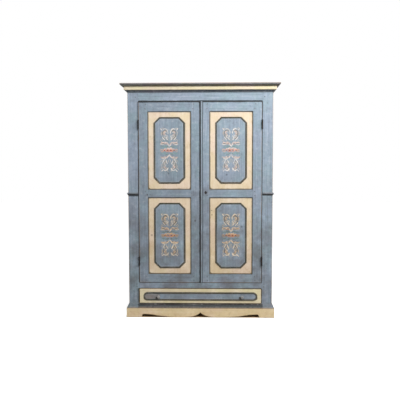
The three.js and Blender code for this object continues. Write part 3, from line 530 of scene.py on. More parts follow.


# Aged paint over wood. It wears along the arrises of its block, or where the surface's own mark has them, and
# other coats lie where their marks say. lines and tablet lay dark lines of painted shade; bare says where the wood was
# never painted.
def agedPaint(
    name, coatName, along, seed, block=None, lines=(), tablet=None,
    others=(), pale=None, bare=None, wear=1.0, dirt=1.0, spots=(),
):
    coat, stretch, shape = coats[coatName], alongGrain[along], paintShape
    finish, shader, place = startFinish(name)
    reach = shape["wearReach"]
    edge = arrisGap(place, block) if block else stretched(markOf(place, "arris"), -reach, reach)
    worn = use(arrisWear, Place=place, Distance=edge, Reach=reach, Amount=wear)
    # dirt, and painted shade darkening the surface toward the floor
    dirtAndShade = use(dirtAndLowShade, Place=place, Amount=dirt)["Mask"]
    colour, brushHeight = coatColour(place, coat, stretch, seed, dirtAndShade, worn["Thin"])
    wander = stretched(noise(place, 60.0, 3.0, 0.6), shape["wander"], -shape["wander"] / 2)
    for index, (mark, otherCoat) in enumerate(others):
        otherSeed = seed + shape["otherSeed"] + index
        other, _ = coatColour(place, coats[otherCoat], stretch, otherSeed, dirtAndShade, worn["Thin"])
        given = mark(place) if callable(mark) else markOf(place, mark)
        colour = mixed(eased(calc("ADD", given, wander), *shape["coatEdge"]), colour, other)
    if pale:
        broken = eased(noise(place, 42.0, 3.0, 0.6), *shape["paleBreaks"])
        colour = laidOver(colour, pale, times(markOf(place, "paleLine"), broken), shape["paleShare"])
    wood, woodHeight = woodColour(place, stretch, seed + shape["woodSeed"])
    chipped = times(worn["Bare"], coat["bareShare"])
    colour = mixed(chipped, colour, wood)
    front = opposite(eased(parts(place)[1], *(frontY + depth for depth in shape["frontFade"])))
    # dark lines of painted shade along the rims: gaps, recesses and under proud parts
    for sizes, inside, tone, strength in lines:
        depth = times(use(rimDepth, Place=place, **sizes)["Depth"], 1.0 if inside else -1.0)
        mask = times(use(shadeLine, Place=place, Depth=depth)["Mask"], front)
        colour = laidOver(colour, lineTones[tone], mask, strength)
    # painted shade round the tablet, on the panel where the tablet stands on it
    if tablet:
        gap = times(use(cantedGap, Place=place, **tablet)["Gap"], 1 / shape["tabletShadeWidth"])
        mask = use(shadeLine, Place=place, Depth=gap)["Mask"]
        colour = laidOver(colour, lineTones["olive"], mask, shape["tabletShare"])
    for x, z, radius, tone, strength in spots:
        mask = spotsAt([(x * mm, z * mm)], radius * mm)(place)
        colour = laidOver(colour, lineTones[tone], mask, strength)
    covered = opposite(chipped)
    if bare:
        unpainted = bare(place)
        colour = mixed(unpainted, colour, wood)
        covered = times(covered, opposite(unpainted))
    rough = stretched(brushHeight, shape["brushRough"], coat["roughness"] + shape["roughShift"])
    height = calc("ADD", times(brushHeight, 0.5), times(woodHeight, 0.5))
    feed(shader, {
        "Base Color": colour,
        "Roughness": stretched(covered, -shape["bareRougher"], rough),
        "Normal": relief(stretched(covered, shape["thickness"], height), shape["paintRelief"]),
    })
    return finish


nailRows = {
    "fromEdge": 9 * mm, "fromFoot": 40 * mm, "apart": 150 * mm, "radius": 3.4 * mm,
    "iron": "#3a302a", "stain": "#4a3a2c",
}


def nailGap(place, block, rows):
    # the distance to the nearest nail of two upright rows, seen from the back
    low, high = block
    x, _, z = parts(place)
    across = calc("SUBTRACT", calc("ABSOLUTE", x), (high[0] - low[0]) / 2 - rows["fromEdge"])
    fromFirst = calc("SUBTRACT", z, low[2] + rows["fromFoot"])
    up = calc("WRAP", fromFirst, rows["apart"] / 2, -rows["apart"] / 2)
    return vectorCalc("LENGTH", put("ShaderNodeCombineXYZ", {0: across, 1: up}).outputs[0])


def bareBoard(name, along, block, seed, nailed):
    finish, shader, place = startFinish(name)
    colour, height = woodColour(place, alongGrain[along], seed)
    worn = use(arrisWear, Place=place, Distance=arrisGap(place, block), Reach=paintShape["wearReach"], Amount=0.8)
    colour = laidOver(colour, woodTones["rubbed"], worn["Thin"], 0.45)
    colour = laidOver(colour, woodTones["stain"], use(dirtAndLowShade, Place=place, Amount=0.45)["Mask"])
    if nailed:
        gap, radius = nailGap(place, block, nailRows), nailRows["radius"]
        colour = laidOver(colour, nailRows["stain"], eased(gap, 3.5 * radius, radius), 0.6)
        head = eased(gap, radius, 0.85 * radius)
        colour = laidOver(colour, nailRows["iron"], head)
        feed(shader, {"Metallic": times(head, 0.5)})
    feed(shader, {
        "Base Color": colour,
        "Roughness": stretched(height, 0.2, woodTones["roughness"] - 0.1),
        "Normal": relief(height, paintShape["woodRelief"]),
    })
    return finish


floorSettings = {
    "span": 14.0,
    "count": 15,
    "seen": ("#f6f6f5", "#efefee"),  # what the camera sees, and its faint clouds
    "thrown": "#bcbab7",  # what it throws back on the object
    # painted tint of the floor's shade under the object
    "shadowTint": "#dfbd92",  # under the object
    "middle": (0.0, 0.0185, 0.0),  # centre and half size of the footprint that keeps its shadow
    "footprint": (0.637, 0.275, 0.0),
    "shadowReach": (-0.008, 0.02),
    "shadowTintEdge": (-0.006, 0.0),
    "glow": 0.75,
}


# White paper sweep: its own shadow close to the object, glowing to the camera further out; under the object it is
# painted tan, a painted tint of the shade there
def floorFinish(settings):
    finish, shader, place = startFinish("studioFloor")
    seen = finish.node_tree.nodes.new("ShaderNodeLightPath").outputs["Is Camera Ray"]
    paper = laidOver(*settings["seen"], noise(place, 1.2, 3.0, 0.5), 0.3)
    folded = vectorCalc("ABSOLUTE", vectorCalc("SUBTRACT", place, settings["middle"]))
    past = vectorCalc("SUBTRACT", folded, settings["footprint"])
    x, y, _ = parts(past)
    # under the object the paper is painted tan, a painted tint of its shade
    outside = eased(calc("MAXIMUM", x, y), *settings["shadowTintEdge"])
    paper = mixed(outside, settings["shadowTint"], paper)
    distance = vectorCalc("LENGTH", vectorCalc("MAXIMUM", past, (0.0, 0.0, 0.0)))
    glow = times(eased(distance, *settings["shadowReach"]), settings["glow"])
    glow = times(times(glow, outside), seen)
    feed(shader, {
        "Base Color": mixed(seen, settings["thrown"], paper),
        "Emission Color": put("ShaderNodeCombineColor", {0: glow, 1: glow, 2: glow}).outputs[0],
        "Emission Strength": 1.0,
        "Roughness": 0.9,
        "Specular IOR Level": 0.1,
    })
    return finish


floorMesh = bpy.data.meshes.new("studioFloor")
floorPoints = floorSurface(floorSettings["span"], floorSettings["count"])
floorFaces = gridFaces(floorSettings["count"], floorSettings["count"])[:, ::-1]
floorMesh.from_pydata(floorPoints.tolist(), [], floorFaces.tolist())
floorMesh.materials.append(floorFinish(floorSettings))
studioFloor = placed("studioFloor", floorMesh)

# Boards that keep their own shape


def behindFace(level):
    # one behind the level, along the depth
    return lambda place: eased(parts(place)[1], level, level + paintShape["maskFade"])


def leftOf(x, fade):
    # one further left than x
    return lambda place: opposite(eased(parts(place)[0], x - fade, x + fade))


def insideOf(half):
    # one nearer to the middle than the half width
    return lambda place: opposite(eased(calc("ABSOLUTE", parts(place)[0]), half - paintShape["maskFade"], half))


def spotsAt(places, radius):
    # one within the radius of any of the places, seen from the front
    def mask(place):
        flat = vectorCalc("MULTIPLY", place, (1.0, 0.0, 1.0))
        near = [vectorCalc("DISTANCE", flat, (x, 0.0, z)) for x, z in places]
        return opposite(eased(calc("MINIMUM", *near), 0.5 * radius, 1.3 * radius))
    return mask


# The opening that a door's stiles and rails leave for the upper or the lower panel.
def sightBox(side, level):
    below, above = ("lock_rail", "top_rail") if level == "upper" else ("bottom_rail", "lock_rail")
    x = sorted(end[0] for stile in ("lock", "hinge") for end in boxOf(f"{side}_door_{stile}_stile"))
    return (x[1], 0.0, boxOf(f"{side}_door_{below}")[1][2]), (x[2], 0.0, boxOf(f"{side}_door_{above}")[0][2])


boardRows = {}  # what each board's paint is told: coat, grain, worn block, dark lines, tablet, where it is bare wood
paintedDepth = {"frame": 20 * mm, "side": 9 * mm, "drawer": 12 * mm, "door": 22 * mm, "panel": 13 * mm}
# Dark lines of painted shade: in the gaps round the doors and drawer, on the doors' edges, beside the meeting bead,
# round the panel openings, under the waist mouldings, along the drawer's edges and round its strip; drawerShade is the
# drawer's painted shadow to its left
shadeWidths = {
    # left, right, top and bottom in mm
    "doorway": (6, 3, 7.5, 1.5), "drawerHole": (12, 6, 2.5, 3), "drawerShade": (26, 2, 2, 2),
    "drawerEdge": (0.8, 2.5, 4.5, 4), "strip": (3, 3, 3, 1.5), "sight": (3.5, 4, 4, 2),
    "leftLeaf": (1, 8, 8.5, 1.5), "rightLeaf": (2.5, 2, 8.5, 1.5), "besideBead": (7.5, 0.5, 0.5, 0.5),
    "underLeftWaist": (0.5, 0.5, 0.5, 12), "underRightWaist": (0.5, 0.5, 0.5, 4),
}
panelShadeWidths = [
    # painted shade of the frame's edges on the cream panels, olive at the right and top, brown at the left and the
    # bottom corners: widths, tone, strength and rounding, each line over the one before
    ((8.5, 1, 1, 8), "brown", 0.85, 2.4),
    ((1, 6.5, 6.5, 1), "olive", 0.88, 2.4),
    ((7.5, 6, 0.5, 7), "brown", 0.8, 4.0),
]
# the painted shade round each tablet
tabletShadeLean = np.array([0.8, 0, -1]) * mm  # the line round a tablet is wider on the right and lower at the top
tabletCant = 48 * mm
carcassBlock = ((-halfBody, frontY, 0.0), (halfBody, backY, boxOf("top_rail")[1][2]))
doorway = ((-halfOpening, 0.0, doorLow[2] - 2 * mm), (halfOpening, 0.0, doorHigh[2] + 2 * mm))
drawerBox, stripBox = boxOf("drawer_front"), boxOf("drawer_strip")
stripEnd = (stripBox[1][2] - stripBox[0][2]) / (6 * mm)  # its half round, counted in widths of its line

# painted shade in the gaps round the doors and the drawer, and the drawer's painted shadow on the frame to its left
frameShadeLines = [
    rimLine(doorway, shadeWidths["doorway"], False, strength=0.85),
    rimLine(drawerBox, shadeWidths["drawerHole"], False, "olive"),
    rimLine(drawerBox, shadeWidths["drawerShade"], False, "olive", 0.45),
]
# painted shadow on each stile under its waist moulding
shadeUnderWaist = {}
for side in ("left", "right"):
    widths = shadeWidths[f"under{side.title()}Waist"]
    shadeUnderWaist[f"{side}_stile"] = [rimLine(boxOf(f"waist_moulding_{side}"), widths, False, strength=0.8)]
frameBoards = {"left_stile": "z", "right_stile": "z", "top_rail": "x", "middle_rail": "x", "bottom_rail": "x"}
for node, along in frameBoards.items():
    bare = behindFace(frontY + paintedDepth["frame"])
    boardRows[node] = ("blue", along, carcassBlock, frameShadeLines + shadeUnderWaist.get(node, []), None, bare)
for node in ("left_side", "right_side"):
    boardRows[node] = ("blue", "z", carcassBlock, [], None, insideOf(halfBody - paintedDepth["side"]))
boardRows["top_board"] = ("cap", "x", boxOf("top_board"), [], None, None)
# painted shade along the drawer front's edges, darkest at the top and bottom, and painted shadow round the strip
drawerShadeLines = [
    rimLine(drawerBox, shadeWidths["drawerEdge"], True, "umber", 0.85),
    rimLine(stripBox, shadeWidths["strip"], False, "olive", 0.85, stripEnd),
]
boardRows["drawer_front"] = ("band", "x", drawerBox, drawerShadeLines, None, behindFace(frontY + paintedDepth["drawer"]))
doorBoards = {"hinge_stile": "z", "lock_stile": "z", "top_rail": "x", "lock_rail": "x", "bottom_rail": "x"}
# the left door takes the darker blue, a painted shade of that side
for side, coat in (("left", "shadedBlue"), ("right", "blue")):
    leaf = blockAround(f"{side}_door_hinge_stile", f"{side}_door_lock_stile")
    # painted shade on the doors' edges at the gaps, beside the meeting bead and round the panel openings
    leafShadeLines = [rimLine(leaf, shadeWidths[f"{side}Leaf"], True, strength=0.9)]
    if side == "right":
        besideBead = (boxOf("astragal")[1][0], 0.0, leaf[0][2]), leaf[1]
        leafShadeLines.append(rimLine(besideBead, shadeWidths["besideBead"], True, "grey", 0.8))
    sights = [sightBox(side, level) for level in ("upper", "lower")]
    leafShadeLines += [rimLine(sight, shadeWidths["sight"], False, "grey", 0.6) for sight in sights]
    for part, along in doorBoards.items():
        bare = behindFace(frontY + paintedDepth["door"])
        boardRows[f"{side}_door_{part}"] = (coat, along, leaf, leafShadeLines, None, bare)
    for level, sight in zip(("upper", "lower"), sights):
        low, high = boxOf(f"{side}_door_{level}_tablet")
        centre, half = (low + high) / 2 + tabletShadeLean, (high - low) / 2 + tabletShadeLean
        tablet = {"Centre": tuple(centre), "Half": tuple(half), "Cant": tabletCant}
        panelShadeLines = [rimLine(sight, widths, True, *look) for widths, *look in panelShadeWidths]
        bare = behindFace(frontY + paintedDepth["panel"])
        boardRows[f"{side}_door_{level}_panel"] = ("cream", "z", sight, panelShadeLines, tablet, bare)
# Knots and stains: places across and up, radius, tone and strength
stains = {
    "left_door_lock_stile": [(-72, 1070, 22, "umber", 0.2), (-36, 1068, 22, "umber", 0.2), (-44, 837, 8, "umber", 0.6)],
    "left_door_hinge_stile": [(-453, 1060, 6, "umber", 0.7)],
    "left_door_lower_panel": [(-418, 712, 10, "brown", 0.5)],
    "right_door_lower_panel": [(98, 925, 6, "brown", 0.6), (100, 888, 6, "brown", 0.6)],
    "right_door_lock_stile": [(48, 1079, 13, "umber", 0.85), (36, 1084, 40, "umber", 0.28)],
    "left_door_upper_tablet": [(-270, 1241, 7, "grey", 0.6)],
    "right_door_upper_tablet": [(226, 1232, 8, "grey", 0.6)],
    "right_door_lower_tablet": [(355, 786, 10, "grey", 0.6)],
}
bareRows = {
    # boards that were never painted, and their grain
    "back_panel": "z", "cabinet_floor": "x", "component_shelf": "x", "tv_shelf": "x",
    "drawer_runner_left": "y", "drawer_runner_right": "y", "drawer_side_left": "y", "drawer_side_right": "y",
    "drawer_back": "x", "drawer_bottom": "y",
}


boardShape = {"weld": 0.01 * mm, "ease": 1.0 * mm, "segments": 2, "sharpAbove": 35, "lockEase": 0.4 * mm}


def dressBoard(node, finish, ease=boardShape["ease"]):
    board = nodes[node]
    board.data.materials.clear()
    board.data.materials.append(finish)
    weld = board.modifiers.new("join corners", "WELD")
    weld.merge_threshold = boardShape["weld"]
    rounding = board.modifiers.new("eased arrises", "BEVEL")
    rounding.width = ease
    rounding.segments = boardShape["segments"]
    rounding.limit_method = "ANGLE"
    rounding.angle_limit = math.radians(boardShape["sharpAbove"])
    rounding.use_clamp_overlap = True


for index, (node, (coat, along, block, lines, tablet, bare)) in enumerate(boardRows.items()):
    spots = stains.get(node, ())
    finish = agedPaint(f"{node}Paint", coat, along, 0.37 * index, block, lines, tablet, bare=bare, spots=spots)
    dressBoard(node, finish)
for index, (node, along) in enumerate(bareRows.items()):
    dressBoard(node, bareBoard(f"{node}Wood", along, boxOf(node), 0.53 * index, node == "back_panel"))
print("boards dressed")

ironTones = {"smooth": "#2a2a2c", "hammered": "#464342", "rust": "#4c372a", "relief": 0.4 * mm}


# Hammered dark iron with patches of brown rust.
def ironFinish(name, seed):
    finish, shader, place = startFinish(name)
    moved = vectorCalc("ADD", place, (seed, 2 * seed, -seed))
    hammer = noise(moved, 120.0, 3.0, 0.6)
    rust = eased(noise(moved, 60.0, 5.0, 0.7), 0.46, 0.66)
    colour = mixed(hammer, ironTones["smooth"], ironTones["hammered"])
    feed(shader, {
        "Base Color": laidOver(colour, ironTones["rust"], rust, 0.7),
        "Metallic": stretched(rust, -0.6, 0.75),
        "Roughness": stretched(rust, 0.3, 0.45),
        "Normal": relief(hammer, ironTones["relief"]),
    })
    return finish


# Tablets and drawer strip
edgeProfile = {
    # inset from the outline and rise from the seat in mm, second colour, pale line, arris
    "points": [
        (0, 0, 1, 0, 0), (0, 2.9, 1, 0, 0), (0.4, 4.0, 1, 0, 0.3), (1.3, 5.0, 1, 0, 0.3), (2.8, 5.75, 1, 0, 0.1),
        (4.6, 6.0, 1, 0, 0.1), (6.2, 5.9, 1, 0, 0.1), (7.4, 5.5, 1, 0, 0.3), (8.2, 4.8, 1, 0, 0.1), (8.8, 4.5, 1, 0, 0),
        (9.8, 4.45, 1, 0, 0.1), (10.8, 4.4, 1, 0, 0.4), (11.4, 3.9, 1, 0, 0.1), (12.1, 3.6, 1, 0, 0),
        (13, 3.5, 0.5, 0.2, 0), (15, 3.5, 0, 0.4, 0), (17, 3.5, 0, 0.6, 0), (20, 3.5, 0, 0, 0),
    ],
    # painted shade under a tablet's top edge
    "underTop": (0.5, 0.5, 12, 0.5),  # the dark line under a tablet's top edge
    "roundSteps": 33,
    "rubbedReach": (140 * mm, 14 * mm),  # how far the strip is rubbed from its left end, and its fade
    # painted shadow of each knob on the strip, down and to the left
    "knobShadow": (-17 * mm, -15 * mm, 13 * mm),  # shift across and up from each knob, and radius
}


def cantedOutline(middle, half, cant, inset):
    # an oblong whose corners are cut at 45 degrees, every edge drawn in by the inset
    a, b = half[0] - inset, half[1] - inset
    cut = cant - inset * (2 - math.sqrt(2))
    corners = np.array([[a, cut - b], [a, b - cut], [a - cut, b], [cut - a, b]])
    return np.concatenate([corners, -corners]) + middle


def stadiumOutline(middle, half, steps, inset):
    # two half circles joined by straight lines
    straight, radius = half[0] - half[1], half[1] - inset
    right = arcPoints((straight, 0), (radius, radius), -90, 90, steps)
    return np.concatenate([right, -right]) + middle


# point(u, v): outline(u) drawn in by inset(v), standing rise(v) before the seat; the field closes the middle.
def edgedBoard(name, node, outlineAt, finish, settings):
    seat = boxOf(node)[1][1]
    rows = np.array(settings["points"], float)
    rings = np.stack([outlineAt(inset * mm) for inset in rows[:, 0]])
    surface = closedRings(standing(rings, (seat - rows[:, 1] * mm)[:, None]))
    marks = profileMarks(rows[:, 2:], np.repeat, rings.shape[1])
    makePiece(name, surface, finish, node, marks=marks)


for index, (side, level) in enumerate(doorPanels):
    node = f"{side}_door_{level}_tablet"
    middle, half = frontOblong(node)
    finish = agedPaint(
        f"{side}{level.title()}TabletPaint", "blue" if index else "shadedBlue", "z", 3.1 + 0.83 * index,
        others=[("secondCoat", "olive")], pale="#a3adb2", wear=0.6, spots=stains.get(node, ()),
        lines=[rimLine(boxOf(node), edgeProfile["underTop"], True, "olive", 0.75)],
    )
    outline = lambda inset: cantedOutline(middle, half, tabletCant, inset)
    edgedBoard(f"{side}_{level}_tablet", node, outline, finish, edgeProfile)

stripMiddle, stripHalf = frontOblong("drawer_strip")
# each knob's painted shadow on the strip, in the umber coat
shadowAcross, shadowUp, shadowRadius = edgeProfile["knobShadow"]
knobMiddles = [frontOblong(f"drawer_knob_{word}")[0] for word in ("left", "right")]
knobShadow = spotsAt([(x + shadowAcross, z + shadowUp) for x, z in knobMiddles], shadowRadius)
rubbedReach, rubbedFade = edgeProfile["rubbedReach"]
rubbedEnd = leftOf(stripBox[0][0] + rubbedReach, rubbedFade)
stripCoats = [(rubbedEnd, "rubbed"), (knobShadow, "umber"), ("secondCoat", "olive")]
edgedBoard(
    "drawer_front_strip",
    "drawer_strip",
    lambda inset: stadiumOutline(stripMiddle, stripHalf, edgeProfile["roundSteps"], inset),
    agedPaint("drawerStripPaint", "blue", "x", 8.4, others=stripCoats, pale="#8b9095", wear=0.6, dirt=0.75),
    edgeProfile,
)
print("tablets and drawer strip made")

# Cornice and waist mouldings
corniceShape = {
    "foot": 1926 * mm, "bedLip": 2 * mm, "bedReach": 22 * mm, "bedHeight": 20 * mm,
    "bandHeight": 30 * mm, "bandSwell": 6 * mm, "crownInner": 26 * mm, "crownReach": 53 * mm,
    "crownHandles": (0.75, 0.0625, 0.25, 0.75), "shadedTop": 6 * mm, "steps": 14, "stations": 60, "sideStations": 24,
}
waistShape = {"reach": 9.5 * mm, "lip": 3 * mm, "noseHeight": 8 * mm, "noseSwell": 2 * mm, "steps": 10}


# point(u, v): path(u) + reach(v) outward(u), at level(v): a moulding profile carried along a wall line.
def runSurface(name, profile, path, outward, finish, node, slot):
    place = path[:, None] + outward[:, None] * profile[None, :, :1]
    marks = profileMarks(profile[:, 2:], np.tile, len(path))
    makePiece(name, closedRings(raised(place, profile[:, 1])), finish, node, marks=marks)


def marked(points, second, pale, arris, third=0):
    # profile points with their second coat, pale line, arris and third coat marks
    marks = [np.broadcast_to(np.asarray(mark, float), len(points)) for mark in (second, pale, arris, third)]
    return np.concatenate([points, np.stack(marks, -1)], -1)


def corniceProfile(shape, top):
    # bed hollow, round band and an S-curved crown, from the seat out and back to it
    steps, bedReach = shape["steps"], shape["bedReach"]
    bandFoot = shape["foot"] + shape["bedHeight"]
    bandTop = bandFoot + shape["bandHeight"]
    inner, outer, rise = shape["crownInner"], shape["crownReach"], top - bandTop
    hollow = arcPoints((bedReach, shape["foot"]), (bedReach - shape["bedLip"], shape["bedHeight"]), 180, 90, steps)
    bandMiddle = (bedReach, (bandFoot + bandTop) / 2)
    swell = arcPoints(bandMiddle, (shape["bandSwell"], shape["bandHeight"] / 2), -90, 90, 2 * steps)
    lowAcross, lowUp, highAcross, highUp = shape["crownHandles"]
    crown = cubicPoints([
        (inner, bandTop),
        (inner + (outer - inner) * lowAcross, bandTop + rise * lowUp),
        (inner + (outer - inner) * highAcross, bandTop + rise * highUp),
        (outer, top),
    ], steps)
    # painted shade under the crown: the band's top edge takes the crown's dark coat
    crownShade = np.clip((swell[:, 1] - bandTop) / shape["shadedTop"] + 1, 0, 1)
    return np.concatenate([
        marked(np.array([[seatGap, shape["foot"]]]), 1, 0, 0.3),
        marked(hollow, 1, 0, np.linspace(0.4, 0, steps)),
        marked(swell[1:-1], 0, 0, 0.2, (crownShade[1:-1] > 0.85) * 0.8),
        marked(crown, 0, 0, np.linspace(0.1, 0.4, steps), 1),
        marked(np.array([[seatGap, top]]), 0, 0, 0, 1),
    ])


def waistProfile(shape, foot, top):
    # a hollow, a small round nose and a lip, from the seat out and back to it
    steps = shape["steps"]
    inner = shape["reach"] - shape["noseSwell"]
    middle = (foot + top) / 2
    noseFoot = middle - shape["noseHeight"] / 2
    hollow = arcPoints((inner, foot), (inner - shape["lip"], noseFoot - foot), 180, 90, steps)
    nose = arcPoints((inner, middle), (shape["noseSwell"], shape["noseHeight"] / 2), -90, 90, steps)
    # the foot, the hollow and the nose's lower half take the dark third coat, a painted shade under the nose; the pale
    # line along the lip is a painted highlight
    return np.concatenate([
        marked(np.array([[seatGap, foot]]), 0, 0, 0.2, 1),
        marked(hollow, 0, 0, 0.1, 1),
        marked(nose[1:], 0, 0, 0.2, np.linspace(2.2, 0, steps - 1).clip(0, 1)),
        marked(np.array([[shape["lip"], top]]), 0.1, 0.15, 0.5),
        marked(np.array([[seatGap, top]]), 0.1, 0.15, 0.3),
    ])


def frontPath(count):
    # evenly along the front, turned out to the mitres at both ends
    x = np.linspace(-halfBody + mitreGap, halfBody - mitreGap, count)
    outward = np.stack([np.zeros(count), -np.ones(count)], -1)
    outward[0, 0], outward[-1, 0] = -1, 1
    return np.stack([x, np.full(count, frontY)], -1), outward


def sidePath(side, count, gap):
    # from the wall forward, turned out to the mitre at the front corner
    y = np.linspace(backY, frontY + gap, count)
    outward = np.stack([np.full(count, float(side)), np.zeros(count)], -1)
    outward[-1, 1] = -1
    return np.stack([np.full(count, side * halfBody), y], -1), outward


corniceCoats = [("secondCoat", "bed"), ("thirdCoat", "crown")]
waistCoats = [("secondCoat", "slate"), ("thirdCoat", "slate")]
cornice = corniceProfile(corniceShape, boxOf("cornice_front")[1][2])
finish = agedPaint("frontCornicePaint", "band", "x", 12.2, others=corniceCoats, wear=0.7)
runSurface("front_cornice", cornice, *frontPath(corniceShape["stations"]), finish, "cornice_front", "cream_paint")
for side, word in ((-1, "left"), (1, "right")):
    finish = agedPaint(f"{word}CornicePaint", "band", "y", 13.0 + side, others=corniceCoats, wear=0.7)
    run = sidePath(side, corniceShape["sideStations"], mitreGap)
    runSurface(f"{word}_cornice", cornice, *run, finish, f"cornice_{word}", "cream_paint")
    low, high = boxOf(f"waist_moulding_{word}")
    inner = low[0] if side > 0 else high[0]
    path, outward = sidePath(side, corniceShape["sideStations"], 0.0)
    path = np.concatenate([path, [[(path[-1][0] + inner) / 2, frontY], [inner, frontY]]])
    outward = np.concatenate([outward, [[0.0, -1.0], [0.0, -1.0]]])
    # pale: a painted highlight along the moulding's lip
    finish = agedPaint(f"{word}WaistPaint", "dull", "y", 15.0 + side, others=waistCoats, pale="#a9b4b8", wear=0.7)
    waist = waistProfile(waistShape, low[2], high[2])
    runSurface(f"{word}_waist_moulding", waist, path, outward, finish, f"waist_moulding_{word}", "deep_blue_paint")
print("cornice and waist mouldings made")

# Plinth with its scalloped foot
plinthShape = {
    "reach": 20 * mm, "bevelHeight": 35 * mm, "bevelLip": 2 * mm, "footWidth": 130 * mm, "footCurve": 16 * mm,
    "notch": 27 * mm, "lobeClear": 1 * mm, "lobePlace": 150 * mm, "apex": 42 * mm, "steps": 28, "ease": 1.6 * mm,
    "footHandle": 0.55, "outerHandles": (0.7, 0.62, 0.95), "innerHandles": (0.5, 0.81, 0.28),
    "endFade": (-18 * mm, 42 * mm),  # the ends' bevel turns blue here, measured from the opening's sides
    "footStations": 5, "beside": 6 * mm, "behindCorner": 26 * mm,
}
# the umber line along the top of the bevel under the drawer is a painted shadow of the drawer
plinthCoats = [("secondCoat", "slate"), ("underDrawerShade", "umber"), ("endCoat", "dull")]


# The lower edge's level by distance from the middle: apex, lobe, notch, then the foot on the floor.
def footCurve(shape, half, lobePlace, apex):
    footInner = half - shape["footWidth"]
    notchX = footInner - shape["footCurve"]
    steps, notch, lobe, handle = shape["steps"], shape["notch"], shape["lobeClear"], shape["footHandle"]
    flat, along, up = shape["outerHandles"]
    run, drop = notchX - lobePlace, notch - lobe
    beforeNotch = (lobePlace + run * along, lobe + drop * up)
    toNotch = cubicPoints([(lobePlace, lobe), (lobePlace + run * flat, lobe), beforeNotch, (notchX, notch)], steps)
    afterNotch, aboveFloor = (notchX + shape["footCurve"] * handle, notch), (footInner, notch * handle)
    toFloor = cubicPoints([(notchX, notch), afterNotch, aboveFloor, (footInner, 0)], steps)
    if not apex:
        return np.concatenate([toNotch[:-1], toFloor])
    flat, along, up = shape["innerHandles"]
    besideApex = (lobePlace * (1 - along), lobe + (apex - lobe) * up)
    toLobe = cubicPoints([(0, apex), besideApex, (lobePlace * flat, lobe), (lobePlace, lobe)], steps)
    return np.concatenate([toLobe[:-1], toNotch[:-1], toFloor])


# point(u, v): along(u), reach(v) and level(v), where the section's lower end follows the scalloped curve at that place.
def plinthSurface(word, shape, curve, stations, placeAt, limit, along, seed):
    node = f"plinth_{word}"
    top, lip, ease, reach = boxOf(node)[1][2], shape["bevelLip"], shape["ease"], shape["reach"]
    shoulder = top - shape["bevelHeight"]
    slope = (reach - lip) / shape["bevelHeight"]
    # reach, level above the lower edge, fixed level or 0, second colour, pale line, arris
    section = np.array([
        (seatGap, 0, 0, 0, 0, 0), (reach - ease, 0, 0, 0, 0, 0.3), (reach - 0.3 * ease, 0.3 * ease, 0, 0, 0, 1),
        (reach, ease, 0, 0, 0, 0.8), (reach, 7 * mm, 0, 0, 0, 0), (reach, 0, 60 * mm, 0, 0, 0),
        (reach, 0, shoulder - 8 * mm, 0, 0, 0), (reach, 0, shoulder - ease, 0.95, 0.1, 0.8),
        (reach - 0.3 * ease, 0, shoulder - 0.2 * ease, 1, 0.1, 1),
        (reach - 1.2 * ease, 0, shoulder + ease, 1, 0.1, 0.4),
        (reach - 8 * mm * slope, 0, shoulder + 8 * mm, 1, 0.2, 0),
        (reach - 13 * mm * slope, 0, shoulder + 13 * mm, 1, 0, 0),
        (reach - 26 * mm * slope, 0, top - 9 * mm, 1, 0, 0), (lip + ease, 0, top - ease, 1, 0, 0),
        (lip, 0, top, 1, 0.2, 0.5), (seatGap, 0, top, 1, 0, 0),
    ], float)
    # painted shadow under the drawer: the top rows of the bevel, faded out toward the ends
    shadedTop = np.array([0] * (len(section) - 4) + [0.6, 1, 1, 1])
    spread = limit(np.broadcast_to(stations[:, None], (len(stations), len(section))), section[:, 0][None, :])
    lower = np.interp(np.abs(spread), curve[:, 0], curve[:, 1])
    level = np.where(section[:, 2] > 0, section[:, 2], lower + section[:, 1])
    points, faces = closedRings(placeAt(spread, np.broadcast_to(section[:, 0], level.shape), level))
    marks = profileMarks(section[:, 3:], np.tile, len(stations))
    fromOpening = np.interp(np.abs(points[:, 0]) - halfOpening, shape["endFade"], [0, 1])
    marks["endCoat"] = marks["secondCoat"] * fromOpening
    marks["underDrawerShade"] = np.tile(shadedTop, len(stations)) * (1 - fromOpening)
    finish = agedPaint(f"{word}PlinthPaint", "tan", along, seed, others=plinthCoats, pale="#d8cdb0")
    makePiece(f"{word}_plinth", (points, faces), finish, node, marks=marks)


frontHalf = halfBody + plinthShape["reach"]
frontCurve = footCurve(plinthShape, frontHalf, plinthShape["lobePlace"], plinthShape["apex"])
outerStations = np.linspace(frontCurve[-1, 0], halfBody - plinthShape["beside"], plinthShape["footStations"])[1:]
halfStations = np.concatenate([frontCurve[:, 0], outerStations, [frontHalf]])
plinthSurface(
    "front", plinthShape, frontCurve, np.concatenate([-halfStations[:0:-1], halfStations]),
    lambda along, reach, level: np.stack([along, frontY - reach, level], -1),
    lambda along, reach: np.clip(along, -halfBody - reach + mitreGap, halfBody + reach - mitreGap), "x", 17.3,
)
sideMiddle = (frontY - plinthShape["reach"] + backY) / 2
sideHalf = backY - sideMiddle
sideCurve = footCurve(plinthShape, sideHalf, 0.0, None)
nearCorner = -sideHalf + np.array([0, plinthShape["behindCorner"]])
outerStations = np.linspace(sideCurve[-1, 0], sideHalf, plinthShape["footStations"])[1:]
sideStations = np.concatenate([nearCorner, -sideCurve[::-1][:-1, 0], sideCurve[:, 0], outerStations])
for side, word in ((-1, "left"), (1, "right")):
    plinthSurface(
        word, plinthShape, sideCurve, sideStations,
        lambda along, reach, level: np.stack([side * (halfBody + reach), sideMiddle + along, level], -1),
        lambda along, reach: np.maximum(along, frontY - reach + mitreGap - sideMiddle), "y", 18.0 + side,
    )
print("plinth made")

# Astragal
# the bead's flanks take the darker bed coat, a painted shade at its feet
astragalShape = {"steps": 17, "stations": 60, "shadedFrom": 0.5}  # from half way out to its edges it is dark


